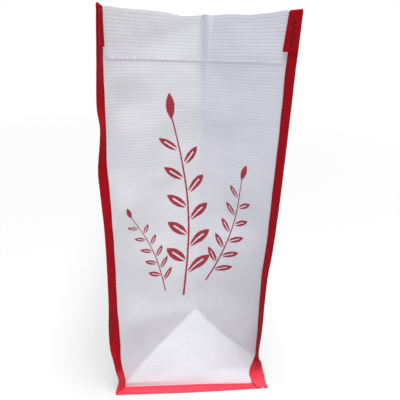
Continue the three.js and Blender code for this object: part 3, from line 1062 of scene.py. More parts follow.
@dataclass
class StitchTree:
    """Geometry Nodes that sew a path of edges with stitches of thread.

    Each edge of the resampled path becomes one stitch, a short thread that rises from one needle hole and
    dips into the next.
    """

    name: str = "stitch_row"
    tree: bpy.types.NodeTree = field(init=False)

    def __post_init__(self) -> None:
        """Builds the tree."""
        self.tree = bpy.data.node_groups.new(self.name, "GeometryNodeTree")
        tree = self.tree
        tree.is_modifier = True
        add = partial(add_node, tree)
        given_kinds = {
            "NodeSocketGeometry": ("Path",),
            "NodeSocketBool": ("Keep Points",),
            "NodeSocketFloat": ("Pitch", "Filled", "Thread Radius", "Rise", "Wander"),
            "NodeSocketInt": ("Seed",),
            "NodeSocketMaterial": ("Thread",),
        }
        for kind, names in given_kinds.items():
            for name in names:
                tree.interface.new_socket(name, in_out="INPUT", socket_type=kind)
        tree.interface.new_socket("Stitches", in_out="OUTPUT", socket_type="NodeSocketGeometry")
        source = add("NodeGroupInput")
        given = source.outputs
        curve = add("GeometryNodeMeshToCurve", {"Mesh": given["Path"]})
        spaced = add("GeometryNodeResampleCurve", {"Curve": curve, "Length": given["Pitch"]}, mode="LENGTH")
        line = add("GeometryNodeCurveToMesh", {"Curve": spaced})
        path = add(
            "GeometryNodeSwitch",
            {"Switch": given["Keep Points"], "False": line, "True": given["Path"]},
            input_type="GEOMETRY",
        )
        ends = add("GeometryNodeInputMeshEdgeVertices")
        span = add(
            VECTOR_MATHS, [ends.outputs["Position 2"], ends.outputs["Position 1"]], operation="SUBTRACT"
        )
        away = add("GeometryNodeInputNamedAttribute", {"Name": "outward"}, data_type="FLOAT_VECTOR")
        turned = add(
            "FunctionNodeAxesToRotation",
            {"Primary Axis": span, "Secondary Axis": away},
            primary_axis="Z", secondary_axis="X",
        )
        length = add(VECTOR_MATHS, [span], operation="LENGTH")
        dice = add(
            "FunctionNodeRandomValue", {"Min": 0.9, "Max": 1.0, "Seed": given["Seed"]}, data_type="FLOAT"
        )
        filled = add(MATHS, [length.outputs["Value"], given["Filled"]], operation="MULTIPLY")
        reach = add(MATHS, [filled, dice.outputs["Value"]], operation="MULTIPLY")
        scale = add("ShaderNodeCombineXYZ", {"X": 1.0, "Y": 1.0, "Z": reach})
        slip = add(
            "FunctionNodeRandomValue",
            {"Min": (-1.0, -1.0, -1.0), "Max": (1.0, 1.0, 1.0), "Seed": given["Seed"]},
            data_type="FLOAT_VECTOR",
        )
        slack = add(VECTOR_MATHS, {0: slip.outputs["Value"], "Scale": given["Wander"]}, operation="SCALE")
        kept = add("GeometryNodeMeshToPoints", mode="EDGES")
        middle = add("GeometryNodeInputPosition")
        moved = add(VECTOR_MATHS, [middle, slack], operation="ADD")
        tree.links.new(moved.outputs[0], kept.inputs["Position"])
        stored = path
        read = []
        for name, value, kind in (("turned", turned, "QUATERNION"), ("sized", scale, "FLOAT_VECTOR")):
            kept_value = {"Geometry": stored, "Name": name, "Value": value}
            stored = add("GeometryNodeStoreNamedAttribute", kept_value, data_type=kind, domain="EDGE")
            read.append(add("GeometryNodeInputNamedAttribute", {"Name": name}, data_type=kind))
        tree.links.new(stored.outputs[0], kept.inputs["Mesh"])
        placed = add(
            "GeometryNodeInstanceOnPoints",
            {"Points": kept, "Instance": self.stitch(given), "Rotation": read[0], "Scale": read[1]},
        )
        real = add("GeometryNodeRealizeInstances", {"Geometry": placed})
        dressed = add("GeometryNodeSetMaterial", {"Geometry": real, "Material": given["Thread"]})
        add("NodeGroupOutput", {"Stitches": dressed})

    def stitch(self, given: Any) -> Node:
        """Adds the nodes of one stitch, a unit long.

        Args:
            given: The tree's input sockets by name.

        Returns:
            The node that gives the stitch as a mesh.
        """
        add = partial(add_node, self.tree)
        top = add("ShaderNodeCombineXYZ", {"X": given["Rise"]})
        sunk = add(MATHS, [given["Thread Radius"], -0.8], operation="MULTIPLY")
        start = add("ShaderNodeCombineXYZ", {"X": sunk, "Z": -0.5})
        end = add("ShaderNodeCombineXYZ", {"X": sunk, "Z": 0.5})
        arc = add(
            "GeometryNodeCurveQuadraticBezier", {"Resolution": 6, "Start": start, "Middle": top, "End": end}
        )
        ring = add("GeometryNodeCurvePrimitiveCircle", {"Resolution": 6, "Radius": given["Thread Radius"]})
        thread = add(
            "GeometryNodeCurveToMesh",
            {"Curve": arc, "Profile Curve": ring.outputs["Curve"], "Fill Caps": True},
        )
        return add("GeometryNodeSetShadeSmooth", {"Geometry": thread})

    def sew(
        self,
        name: str,
        paths: Sequence[tuple[Array, Array]],
        material: bpy.types.Material,
        values: dict[str, Any],
    ) -> bpy.types.Object:
        """Sews paths and turns the stitches into a plain mesh.

        Args:
            name: The new piece's name.
            paths: Pairs of the path's points and its directions out of the cloth, in mm.
            material: The thread's finish.
            values: Values of the tree's named inputs.

        Returns:
            The piece.
        """
        points = np.concatenate([p for p, _ in paths]) * MM
        ways = np.concatenate([w for _, w in paths])
        edges = []
        start = 0
        for path, _ in paths:
            edges += [(start + i, start + i + 1) for i in range(len(path) - 1)]
            start += len(path)
        mesh = bpy.data.meshes.new(name + "_path")
        mesh.from_pydata(points.tolist(), edges, [])
        attribute = mesh.attributes.new("outward", "FLOAT_VECTOR", "POINT")
        attribute.data.foreach_set("vector", ways.astype(np.float32).ravel())
        guide = bpy.data.objects.new(name + "_path", mesh)
        bpy.context.scene.collection.objects.link(guide)
        modifier = guide.modifiers.new("stitches", "NODES")
        modifier.node_group = self.tree
        sockets = self.tree.interface.items_tree
        named = {item.name: item.identifier for item in sockets if item.in_out == "INPUT"}
        for key, value in {**values, "Thread": material}.items():
            modifier[named[key]] = value
        bpy.context.view_layer.update()
        evaluated = guide.evaluated_get(bpy.context.evaluated_depsgraph_get())
        sewn = bpy.data.meshes.new_from_object(evaluated)
        bpy.data.objects.remove(guide)
        sewn.name = name
        for extra in ("turned", "sized", "outward"):
            if extra in sewn.attributes:
                sewn.attributes.remove(sewn.attributes[extra])
        return add_object(name, sewn, material)


class SheetPiece:
    """A piece made of one sheet, which stands for the CAD node of its own name."""

    ending = "_cloth"
    slot = "raffia"
    rounded = True

    def grid(self) -> SheetGrid:
        """Lays out the sheet."""
        raise NotImplementedError

    def make(self, name: str, material: bpy.types.Material) -> bpy.types.Object:
        """Makes the piece.

        Args:
            name: The CAD node's name.
            material: The sheet's finish.

        Returns:
            The piece.
        """
        piece = add_object(name + self.ending, sheet_mesh(name, self.grid(), self.rounded), material)
        return fitted(piece, self.slot, name)


class TapePiece(SheetPiece):
    """A piece made of binding tape."""

    ending = "_tape"
    slot = "binding"
    rounded = False


def panel_bulge(share: Array, z: Array | float) -> Array:
    """Says how far a big panel bellies out.

    Args:
        share: Places along the bag, from 0 at the near seam to 1 at the far one.
        z: Heights.

    Returns:
        The bulge, in millimetres.
    """
    along = np.sin(math.pi * np.clip(share, 0, 1)) ** BULGE_POWER
    return PANEL_BULGE * along * blend(BULGE_AT_ENDS, 1, np.sin(math.pi * z / HEIGHT))


def seam_allowance(form: GussetForm, side: Side, z: Array, sign: int, seam: Array) -> Array:
    """Gives the cloth inside a binding.

    Args:
        form: The gusset on that seam.
        side: Which of its seams.
        z: Heights of the rows.
        sign: 1 for the gusset's cloth and -1 for the panel's.
        seam: The last points of the cloth's rows, on the seam line.

    Returns:
        Points, rows by columns, from the seam outwards.
    """
    out = form.out(side, z)[:, None]
    face = form.face(side, z)[:, None]
    start = form.seam_point(side, z)[:, None] + sign * ALLOWANCE_OFF * face
    start[..., 2] = seam[:, None, 2]
    return start + out * np.array(ALLOWANCE_REACHES)[None, :, None]


def row_heights(low: float, high: float, step: float, extra: Sequence[float]) -> Array:
    """Gives heights for a sheet's rows.

    Args:
        low: The lowest row.
        high: The highest one.
        step: About how far apart they lie.
        extra: Heights that need rows of their own.

    Returns:
        The heights, from the lowest up.
    """
    even = np.linspace(low, high, round((high - low) / step) + 1)
    clear = even[np.all(np.abs(even[:, None] - np.array(extra)[None, :]) > step * 0.3, axis=1)]
    return np.unique(np.concatenate([clear, extra, [low, high]]))


HEM_EDGE = HEIGHT - HEM_DEPTH
HEM_ROWS = tuple(HEM_EDGE + above for above in (-0.2, 0.2, HEM_ROW - 0.9, HEM_ROW, HEM_ROW + 0.9))


def hem_shape(z: Array, columns: int) -> tuple[Array, Array]:
    """Gives the cloth's half thickness on its two faces, with the hem's second layer and sewn groove.

    Args:
        z: Heights of the rows.
        columns: How many columns the sheet has; the hem's edge doesn't show through inside the bindings.

    Returns:
        The outer and the inner one, rows by columns.
    """
    bound = len(ALLOWANCE_REACHES) + 2
    shows = np.zeros((1, columns))
    shows[:, bound:-bound] = 1.0
    z = z[:, None]
    groove = HEM_GROOVE * np.exp(-(((z - HEM_EDGE - HEM_ROW) / HEM_GROOVE_WIDTH) ** 2)) * shows
    ridge = HEM_RIDGE * ramp(HEM_EDGE - HEM_SOFT, HEM_EDGE + HEM_SOFT, z) * shows
    doubled = np.where(z > HEM_EDGE, HEM_LAYER, 0.0)
    return CLOTH_HALF + ridge - groove, CLOTH_HALF + doubled - groove


def hem_line(sheet: SheetGrid, row: int, inside: bool) -> tuple[Array, Array]:
    """Gives the line of the hem's stitches on a cloth, between its bindings.

    Args:
        sheet: The cloth.
        row: Its row that they run along.
        inside: Whether it is the line on the inner face.

    Returns:
        The path's points and the directions out of the cloth.
    """
    _, normal = grid_ways(sheet.middle)
    half = sheet.inner if inside else sheet.outer
    keep = slice(len(ALLOWANCE_REACHES) + 1, -len(ALLOWANCE_REACHES) - 1)
    ways = normal[row, keep] * (-1 if inside else 1)
    return sheet.middle[row, keep] + ways * half[row, keep][:, None], ways


@dataclass
class Gusset(SheetPiece):
    """A side gusset: one piece of cloth with a valley crease and a bottom fold triangle."""

    form: GussetForm
    step: float = 1.9
    columns: int = 52
    turn_share: float = 0.06  # beyond this share of the way to the crease the lower edge turns outwards
    fan: float = 0.04  # and short of it, each of its rows lies this much lower than the last

    def grid(self) -> SheetGrid:
        """Lays out the cloth.

        Returns:
            Its middle, thicknesses and flat places.
        """
        z = row_heights(FOOT_TURN, CLOTH_TOP, self.step, HEM_ROWS)
        share = np.linspace(0, 1, self.columns + 1)
        parts = {}
        for side in Side:
            middle = self.form.half(side, share[None, :], z[:, None])
            foot = self.foot_rows(middle[0], share)
            middle = np.concatenate([foot, middle])
            heights = middle[:, 0, 2]
            parts[side] = np.concatenate(
                [seam_allowance(self.form, side, heights, 1, middle[:, 0])[:, ::-1], middle], axis=1
            )
        left = parts[Side.LEFT]
        right = parts[Side.RIGHT][:, ::-1]
        grid = np.concatenate([left, right[:, 1:]], axis=1)
        u = lengths_across(grid)
        u = u - u[:, left.shape[1] - 1][:, None]
        steps = np.linalg.norm(np.diff(foot[:, -1], axis=0, append=middle[len(foot), -1][None]), axis=1)
        z = np.concatenate([FOOT_TURN - np.cumsum(steps[::-1])[::-1], z])
        flat = flat_places(u, z[:, None])
        if self.form.end is End.FAR:
            grid = grid[:, ::-1]
            flat = flat[:, ::-1]
        return SheetGrid(grid, *hem_shape(z, grid.shape[1]), flat)

    def foot_rows(self, lowest: Array, share: Array) -> Array:
        """Gives the rows below the upright cloth, where it turns outwards and lies flat inside the foot tape.

        Args:
            lowest: The lowest row of the upright cloth.
            share: Its columns' places, from 0 on the seam to 1 on the crease.

        Returns:
            Points, from the cut edge up to the turn.
        """
        angles = np.radians([*FOLD_ANGLES, 90])
        flat = np.array(FOOT_ALLOWANCES)
        reaches = [*(FOOT_TURN_RADIUS * (1 - np.cos(angles))), *(FOOT_TURN_RADIUS + flat)]
        drops = [*(FOOT_TURN_RADIUS * np.sin(angles)), *np.full_like(flat, FOOT_TURN_RADIUS)]
        turned = ramp(0.0, self.turn_share, share)
        rows = []
        for i, (reach, drop) in enumerate(zip(reaches, drops)):
            row = lowest.copy()
            row[:, 1] += self.form.end.value * reach * turned
            row[:, 2] -= drop + self.fan * i * (1 - turned)
            rows.append(row)
        return np.stack(rows[::-1])

    def hem_path(self, inside: bool) -> tuple[Array, Array]:
        """Gives the line of the hem's stitches.

        Args:
            inside: Whether it is the row on the inner face.

        Returns:
            The path's points and the directions out of the cloth.
        """
        sheet = self.grid()
        row = int(np.argmin(np.abs(sheet.flat[:, 0, 1] - HEM_EDGE - HEM_ROW)))
        return hem_line(sheet, row, inside)


@dataclass
class BodyStrip(SheetPiece):
    """The strip of cloth that makes the left panel, the base and the right panel."""

    near: GussetForm
    far: GussetForm
    ripples: tuple[Ripples, ...]
    step: float = 4.2
    columns: int = 92
    calm_share: float = 0.06
    calm_top: float = 40.0
    tuck_share: float = 0.015

    def panel(self, side: Side, z: Array) -> Array:
        """Gives the rows of a big panel.

        Args:
            side: Which panel.
            z: Heights of the rows.

        Returns:
            Points from near to far, with the allowances at both ends.
        """
        share = np.linspace(0, 1, self.columns + 1)
        near = self.near.seam_point(side, z) - ALLOWANCE_OFF * self.near.face(side, z)
        far = self.far.seam_point(side, z) - ALLOWANCE_OFF * self.far.face(side, z)
        rows = blend(near[:, None], far[:, None], share[None, :, None])
        from_end = np.minimum(share, 1 - share)
        calm = ramp(0, self.calm_share, from_end) * ramp(FOLD_RADIUS, self.calm_top, z)[:, None]
        along = share[None, :] * BODY_LENGTH
        waves = sum(r.at(along, z[:, None] + side.value * HEIGHT) for r in self.ripples)
        rows[..., 0] += side.value * (panel_bulge(share[None, :], z[:, None]) + calm * waves)
        tucked = LIP_TUCK * (1 - ramp(0.0, self.tuck_share, from_end))
        rows[..., 2] -= ramp(HEIGHT - LIP_DEPTH, CLOTH_TOP, z)[:, None] * tucked
        before = seam_allowance(self.near, side, z, -1, rows[:, 0])[:, ::-1]
        after = seam_allowance(self.far, side, z, -1, rows[:, -1])
        return np.concatenate([before, rows, after], axis=1)

    def base(self, left: Array, right: Array) -> Array:
        """Gives the rows round the two bottom folds and across the base.

        Args:
            left: The lowest row of the left panel.
            right: The lowest row of the right panel.

        Returns:
            Points, from the left fold to the right one.
        """
        rows = []
        from_left = left + np.array([FOLD_RADIUS, 0, 0])
        from_right = right - np.array([FOLD_RADIUS, 0, 0])
        for centre, sign, angles in ((from_left, -1, FOLD_ANGLES), (from_right, 1, FOLD_ANGLES[::-1])):
            for angle in np.radians(angles):
                row = centre.copy()
                row[:, 0] += sign * FOLD_RADIUS * math.cos(angle)
                row[:, 2] = FOLD_RADIUS - (FOLD_RADIUS - BASE_HEIGHT) * math.sin(angle)
                rows.append(row)
        middle = []
        for share in np.linspace(0, 1, BASE_ROWS):
            row = blend(from_left, from_right, share)
            row[:, 2] = BASE_HEIGHT
            middle.append(row)
        return np.stack([*rows[: len(FOLD_ANGLES)], *middle, *rows[len(FOLD_ANGLES) :]])

    def grid(self) -> SheetGrid:
        """Lays out the strip from the top of the left panel to the top of the right one.

        Returns:
            Its middle, thicknesses and flat places.
        """
        z = row_heights(FOLD_RADIUS, CLOTH_TOP, self.step, HEM_ROWS)
        left = self.panel(Side.LEFT, z)[::-1]
        right = self.panel(Side.RIGHT, z)
        base = self.base(left[-1], right[0])
        self.tuck_base_ends(base)
        grid = np.concatenate([left, base, right])
        outer, inner = hem_shape(z, grid.shape[1])
        plain = np.full(base.shape[:2], CLOTH_HALF)
        out_half = np.concatenate([outer[::-1], plain, outer])
        in_half = np.concatenate([inner[::-1], plain, inner])
        along = lengths_along(grid[:, self.columns // 2])
        return SheetGrid(grid, out_half, in_half, flat_places(lengths_across(grid), along[:, None]))

    def tuck_base_ends(self, base: Array) -> None:
        """Lays the ends of the base's rows flat inside the foot tapes.

        Args:
            base: The rows round the folds and across the base, which are changed.
        """
        count = len(ALLOWANCE_REACHES)
        rows = base[len(FOLD_ANGLES) : -len(FOLD_ANGLES)]
        for sign, ends, seam in ((-1, slice(None, count), count), (1, slice(-count, None), -count - 1)):
            reach = np.array(ALLOWANCE_REACHES)[::sign] * BASE_REACH
            rows[:, seam, 1] = sign * BODY_LENGTH / 2
            rows[:, ends, 0] = rows[:, seam, 0][:, None]
            rows[:, ends, 1] = sign * (BODY_LENGTH / 2 + reach)
            rows[:, ends, 2] = BASE_END_HEIGHT

    def hem_path(self, side: Side, inside: bool) -> tuple[Array, Array]:
        """Gives the line of the hem's stitches along a big panel.

        Args:
            side: Which panel.
            inside: Whether it is the row on the inner face.

        Returns:
            The path's points and the directions out of the cloth.
        """
        sheet = self.grid()
        above = np.abs(sheet.middle[:, self.columns // 2, 2] - HEM_EDGE - HEM_ROW)
        start, end = (0, len(above) // 2) if side is Side.LEFT else (len(above) // 2, len(above))
        row = start + int(np.argmin(above[start:end]))
        return hem_line(sheet, row, inside)


@dataclass(frozen=True)
class TabShape:
    """How far a tape's turned-back end overlaps the gusset, at its top and cut end, and its top's slant."""

    overlap_top: float
    overlap_low: float
    slant: float
    edge_wave: float = 0.12
    edge_wave_length: float = 4.0

    def overlap(self, z: Array) -> Array:
        """Gives the overlap at a height."""
        return blend(self.overlap_low, self.overlap_top, (z - HEIGHT - TAB_RISE + TAB_LENGTH) / TAB_LENGTH)


@dataclass(frozen=True)
class TapeTail:
    """The lower end of a tape that turns outwards and lies over the end of the foot tape.

    start is the height where it leaves the seam, knee the height on the seam that it bends towards, and inner
    and outer are the corners of its cut end, in the tables' own axes. spread says how far the wider tape
    creeps over the cloth, for each millimetre past its folded width.
    """

    start: float
    knee: float
    inner: tuple[float, float, float]
    outer: tuple[float, float, float]
    spread: float
    rows: int = 12


def round_fold(centre: Array, face: Array, out: Array, radius: float, turns: Sequence[float]) -> Array:
    """Gives points round the fold along a tape's middle.

    Args:
        centre: Middles of the fold, one for each row.
        face: Ways out of the front ply's face.
        out: Ways out along the seam.
        radius: The fold's radius.
        turns: Angles from out towards face, in degrees.

    Returns:
        Points, rows by columns.
    """
    angles = [math.radians(turn) for turn in turns]
    return np.stack([centre + radius * (face * math.sin(a) + out * math.cos(a)) for a in angles], axis=1)


@dataclass
class UprightBinding(TapePiece):
    """A tape folded over an upright seam, with its top end turned back over the gusset and sewn down."""

    form: GussetForm
    side: Side
    bottom: float
    tab: TabShape
    ripples: tuple[Ripples, ...]
    tail: TapeTail | None = None
    step: float = 2.0
    tab_waves: float = 0.3  # share of the tape's waves that is left where it is turned back

    def frame(self, z: Array) -> dict[str, Array]:
        """Gives the directions round the seam.

        Args:
            z: Heights.

        Returns:
            The seam's points, the way out along the bound seam, its face, and for each of the two cloths the
            way in along it and the way out of its face.
        """
        here = np.minimum(z, HEIGHT)
        seam = self.form.seam_point(self.side, here)
        seam[..., 2] = z
        out = self.form.out(self.side, here)
        face = self.form.face(self.side, here)
        inside = self.form.half(self.side, np.full_like(here, FLAP_SHARE), np.maximum(here, FOOT_EDGE + 0.5))
        gusset_way = unit((inside - seam) * np.array([1, 1, 0]))
        panel_way = np.broadcast_to(np.array([0.0, -self.form.end.value, 0.0]), out.shape)
        gusset_out = unit(face - (face * gusset_way).sum(-1, keepdims=True) * gusset_way)
        panel_out = unit(-face + (face * panel_way).sum(-1, keepdims=True) * panel_way)
        gusset = {"gusset_way": gusset_way, "gusset_out": gusset_out}
        panel = {"panel_way": panel_way, "panel_out": panel_out}
        return {"seam": seam, "out": out, "face": face, **gusset, **panel}

    def tail_frame(self, above: dict[str, Array], width: float) -> tuple[dict[str, Array], Array]:
        """Gives the directions along the tape's tail.

        Args:
            above: The directions of the rows above it, from the lowest up.
            width: The folded width of the lowest of those rows.

        Returns:
            The tail's own directions and folded widths, from its cut end up.
        """
        shift = np.array([MIDDLE_X, 0.0, 0.0])
        inner = np.array(self.tail.inner) - shift
        outer = np.array(self.tail.outer) - shift
        knee = self.form.seam_point(self.side, np.array([self.tail.knee]))[0]
        t = np.linspace(1, 0, self.tail.rows + 1)[:-1, None]
        seam = t**2 * inner + 2 * t * (1 - t) * knee + (1 - t) ** 2 * above["seam"][0]
        span = blend(above["out"][0] * width, outer - inner, t)
        out = unit(span)
        down = unit(-np.gradient(np.concatenate([seam, above["seam"][:1]]), axis=0)[:-1])
        face = unit(np.cross(down, out))
        face = face * np.sign((face * above["face"][0]).sum(-1, keepdims=True))
        ways = {"gusset_way": -out, "gusset_out": face, "panel_way": -out, "panel_out": -face}
        return {"seam": seam, "out": out, "face": face, **ways}, np.linalg.norm(span, axis=1)

    def on_cloth(self, frame: dict[str, Array], reach: Array, height: Array, gusset: bool) -> Array:
        """Gives places of a ply that follows the bound seam and, past the seam line, the cloth.

        Args:
            frame: Directions round the seam, one for each row.
            reach: Rows by columns, from the seam line outwards, and negative on the cloth.
            height: How far the ply lies over the middle of the cloth under it.
            gusset: Whether it is on the gusset's side or on the panel's.

        Returns:
            Points, rows by columns.
        """
        sign = 1 if gusset else -1
        way = frame["gusset_way" if gusset else "panel_way"][:, None]
        flat = frame["gusset_out" if gusset else "panel_out"][:, None]
        fin = sign * frame["face"][:, None]
        on_fin = ramp(-1.0, 1.0, reach)[..., None]
        lean = blend(flat, fin, on_fin)
        lean = lean / (lean * lean).sum(-1, keepdims=True)
        reach = reach[..., None]
        run = blend(-reach * way, reach * frame["out"][:, None], on_fin)
        start = frame["seam"][:, None] + fin * ALLOWANCE_OFF
        return start + run + lean * height[..., None]

    def grid(self) -> SheetGrid:
        """Lays out the tape from its lower end up over the top edge and down to the end of the tab.

        Returns:
            Its middle, thicknesses and flat places.
        """
        upright = np.arange(self.tail.start if self.tail else self.bottom, HEIGHT - 0.4, self.step)
        frame = self.frame(upright)
        width = self.form.seams[self.side].at("width", upright)
        if self.tail:
            ending, ending_width = self.tail_frame(frame, float(width[0]))
            frame = {name: np.concatenate([ending[name], ways]) for name, ways in frame.items()}
            width = np.concatenate([ending_width, width])
        run = np.arange(len(width)) * self.step
        edge = TAPE_EDGE + sum(height * np.sin(run / length) for height, length in EDGE_WAVES)
        if self.tail:
            edge -= self.tail.spread * np.maximum(width - TAPE_WIDTH / 2, 0)
        front, back = self.reaches(width, edge, None)
        grid = np.concatenate([self.section(frame, width, front, back), self.tab_rows()])
        shape = grid.shape[:2]
        u = lengths_across(grid)
        v = lengths_along(grid[:, shape[1] // 2])
        lift = sum(r.at(u, v[:, None]) for r in self.ripples)
        _, normal = grid_ways(grid)
        open_part = np.ones(shape)
        open_part[len(width) :] = self.tab_waves
        grid = grid + normal * (lift * open_part)[..., None]
        grid[..., 2] = np.maximum(grid[..., 2], TAPE_HALF)
        half = np.full(shape, TAPE_HALF)
        return SheetGrid(grid, half, half, flat_places(u, v[:, None]))

    def reaches(self, width: Array, front_edge: Array, back_edge: Array | None) -> tuple[Array, Array]:
        """Gives the columns of the front ply and of the back one.

        Args:
            width: The folded width of each row.
            front_edge: Where the front ply's edge lies.
            back_edge: Where the back one's lies, or None where the tape's own width gives that.

        Returns:
            Reaches from the front edge to the fold, and from the fold to the back edge.
        """
        fold = width - TAPE_FOLD
        shares = np.array(TAPE_SHARES)
        if back_edge is None:
            back_edge = fold - (TAPE_WIDTH - (fold - front_edge) - math.pi * TAPE_FOLD)
        front = blend(front_edge[:, None], fold[:, None], shares[None, :])
        back = blend(fold[:, None], back_edge[:, None], (1 - shares[::-1])[None, :])
        return front, back

    def section(self, frame: dict[str, Array], width: Array, front: Array, back: Array) -> Array:
        """Gives the tape's section round the bound seam, row by row.

        Args:
            frame: Directions round the seam.
            width: The folded widths.
            front: Reaches of the front ply.
            back: Reaches of the back ply.

        Returns:
            Points, rows by columns.
        """
        plies = []
        full = ALLOWANCE_OFF + TAPE_OFF
        for reach, gusset in ((front, True), (back, False)):
            closing = ramp(ALLOWANCE, width[:, None] - TAPE_FOLD, reach)
            dent = SEWN_DENT * np.exp(-(((reach - SEWN_AT) / SEWN_DENT_WIDTH) ** 2))
            height = TAPE_OFF - closing * (full - TAPE_FOLD) - dent
            plies.append(self.on_cloth(frame, reach, height, gusset))
        centre = frame["seam"] + frame["out"] * (width - TAPE_FOLD)[:, None]
        fold = round_fold(centre, frame["face"], frame["out"], TAPE_FOLD, TAPE_TURNS)
        return np.concatenate([plies[0], fold, plies[1]], axis=1)

    def tab_rows(self) -> Array:
        """Gives the rows of the tape's end, over the top edge and down along the gusset's side.

        Returns:
            Points, rows by columns.
        """
        over = ALLOWANCE_OFF + TAPE_OFF + TAPE_HALF + PLAY + TAPE_HALF + TAB_GAP / 2
        radius = over / 2
        top = HEIGHT + TAB_RISE - radius - TAB_GAP / 2 - TAPE_HALF
        rows = []
        width = self.form.seams[self.side].at("width", np.array([HEIGHT]))
        steps = [(z, 0.0, 1.0 - i * 0.35) for i, z in enumerate((HEIGHT, HEIGHT + 0.5, top))]
        steps += [(top, angle, 0.0) for angle in np.linspace(0, math.pi, 9)[1:-1]]
        for z, angle, spread in steps:
            share = angle / math.pi
            front_edge = blend(np.array([TAPE_EDGE]), np.array([TAB_INNER_EDGE]), share)
            back_edge = blend(np.array([TAPE_EDGE]), np.array([-self.tab.overlap_top]), share)
            front, back = self.reaches(width, front_edge, back_edge)
            frame = self.frame(np.array([z]))
            gap = blend(TAB_GAP / 2, ALLOWANCE_OFF + TAPE_OFF, spread)
            towards = frame["face"] * math.cos(angle) + np.array([0, 0, -math.sin(angle)])
            centre = frame["seam"] + frame["face"] * radius * (1 - math.cos(angle))
            centre = centre + np.array([0, 0, radius * math.sin(angle)])
            row = self.flat_section(frame["out"], towards, centre, width, front, back, gap)
            away = ((row - frame["seam"]) * frame["out"]).sum(-1)
            leant = ramp(HEIGHT, top, np.array([z]))
            row[..., 2] -= self.tab.slant * leant * np.clip(1 - away / width, 0, LEAN_LIMIT)
            rows.append(row)
        z = np.linspace(top, HEIGHT + TAB_RISE - TAB_LENGTH, 18)
        frame = self.frame(z)
        widths = float(width[0]) + self.tab.edge_wave * np.sin(z / self.tab.edge_wave_length)
        front, back = self.reaches(widths, np.full(len(z), TAB_INNER_EDGE), -self.tab.overlap(z))
        height = over - ALLOWANCE_OFF
        inner = self.on_cloth(frame, front, np.full(front.shape, height - TAB_GAP / 2), True)
        outer = self.on_cloth(frame, back, np.full(back.shape, height + TAB_GAP / 2), True)
        centre = frame["seam"] + frame["out"] * (widths - TAPE_FOLD)[:, None] + frame["face"] * over
        fold = round_fold(centre, frame["face"], frame["out"], TAB_GAP / 2, TAPE_TURNS[::-1])
        down = np.concatenate([inner, fold, outer], axis=1)
        away = ((down - frame["seam"][:, None]) * frame["out"][:, None]).sum(-1)
        leant = ramp(HEIGHT + TAB_RISE - TAB_LENGTH / 2, top, z)[:, None]
        down[..., 2] -= self.tab.slant * leant * np.clip(1 - away / widths[:, None], 0, LEAN_LIMIT)
        return np.concatenate([*rows, down])

    @staticmethod
    def flat_section(
        out: Array, towards: Array, centre: Array, width: Array, front: Array, back: Array, gap: float
    ) -> Array:
        """Gives one row of the folded tape where no cloth lies in it.

        Args:
            out: The way out along the seam.
            towards: The way out of the front ply's face.
            centre: The middle of the tape on the seam line.
            width: The folded width.
            front: Reaches of the front ply.
            back: Reaches of the back ply.
            gap: Half of the distance between the plies.

        Returns:
            Points, one row by columns.
        """
        plies = []
        for reach, sign in ((front, 1), (back, -1)):
            plies.append(centre[:, None] + reach[..., None] * out[:, None] + sign * gap * towards[:, None])
        end = centre + out * (width - TAPE_FOLD)[:, None]
        fold = round_fold(end, towards, out, gap, TAPE_TURNS)
        return np.concatenate([plies[0], fold, plies[1]], axis=1)

    def seam_paths(self) -> list[tuple[Array, Array]]:
        """Gives the two rows of stitches through the tape, one on each face.

        Returns:
            Paths with their directions out of the tape.
        """
        paths = []
        for gusset, last in ((True, HEIGHT + TAB_RISE - TAB_LENGTH - 1), (False, HEIGHT - 2)):
            z = np.arange((self.tail.start if self.tail else self.bottom) + 3, last, 2.0)
            frame = self.frame(z)
            height = TAPE_OFF + TAPE_HALF - SEWN_DENT
            reach = np.full((len(z), 1), SEWN_AT)
            points = self.on_cloth(frame, reach, np.full(reach.shape, height), gusset)[:, 0]
            paths.append((points, frame["face"] * (1 if gusset else -1)))
        return paths

    def tack_path(self) -> list[tuple[Array, Array]]:
        """Gives the zigzag of stitches that holds the tab.

        Returns:
            One path with its directions out of the tab.
        """
        z = np.linspace(HEIGHT - 5, HEIGHT + TAB_RISE - TAB_LENGTH + 5, 19)
        frame = self.frame(z)
        reach = np.where(np.arange(len(z)) % 2, *TAB_TACKS)[:, None]
        over = 2 * TAPE_HALF + PLAY + TAPE_OFF + TAB_GAP + TAPE_HALF
        points = self.on_cloth(frame, reach, np.full(reach.shape, over), True)[:, 0]
        return [(points, frame["face"])]


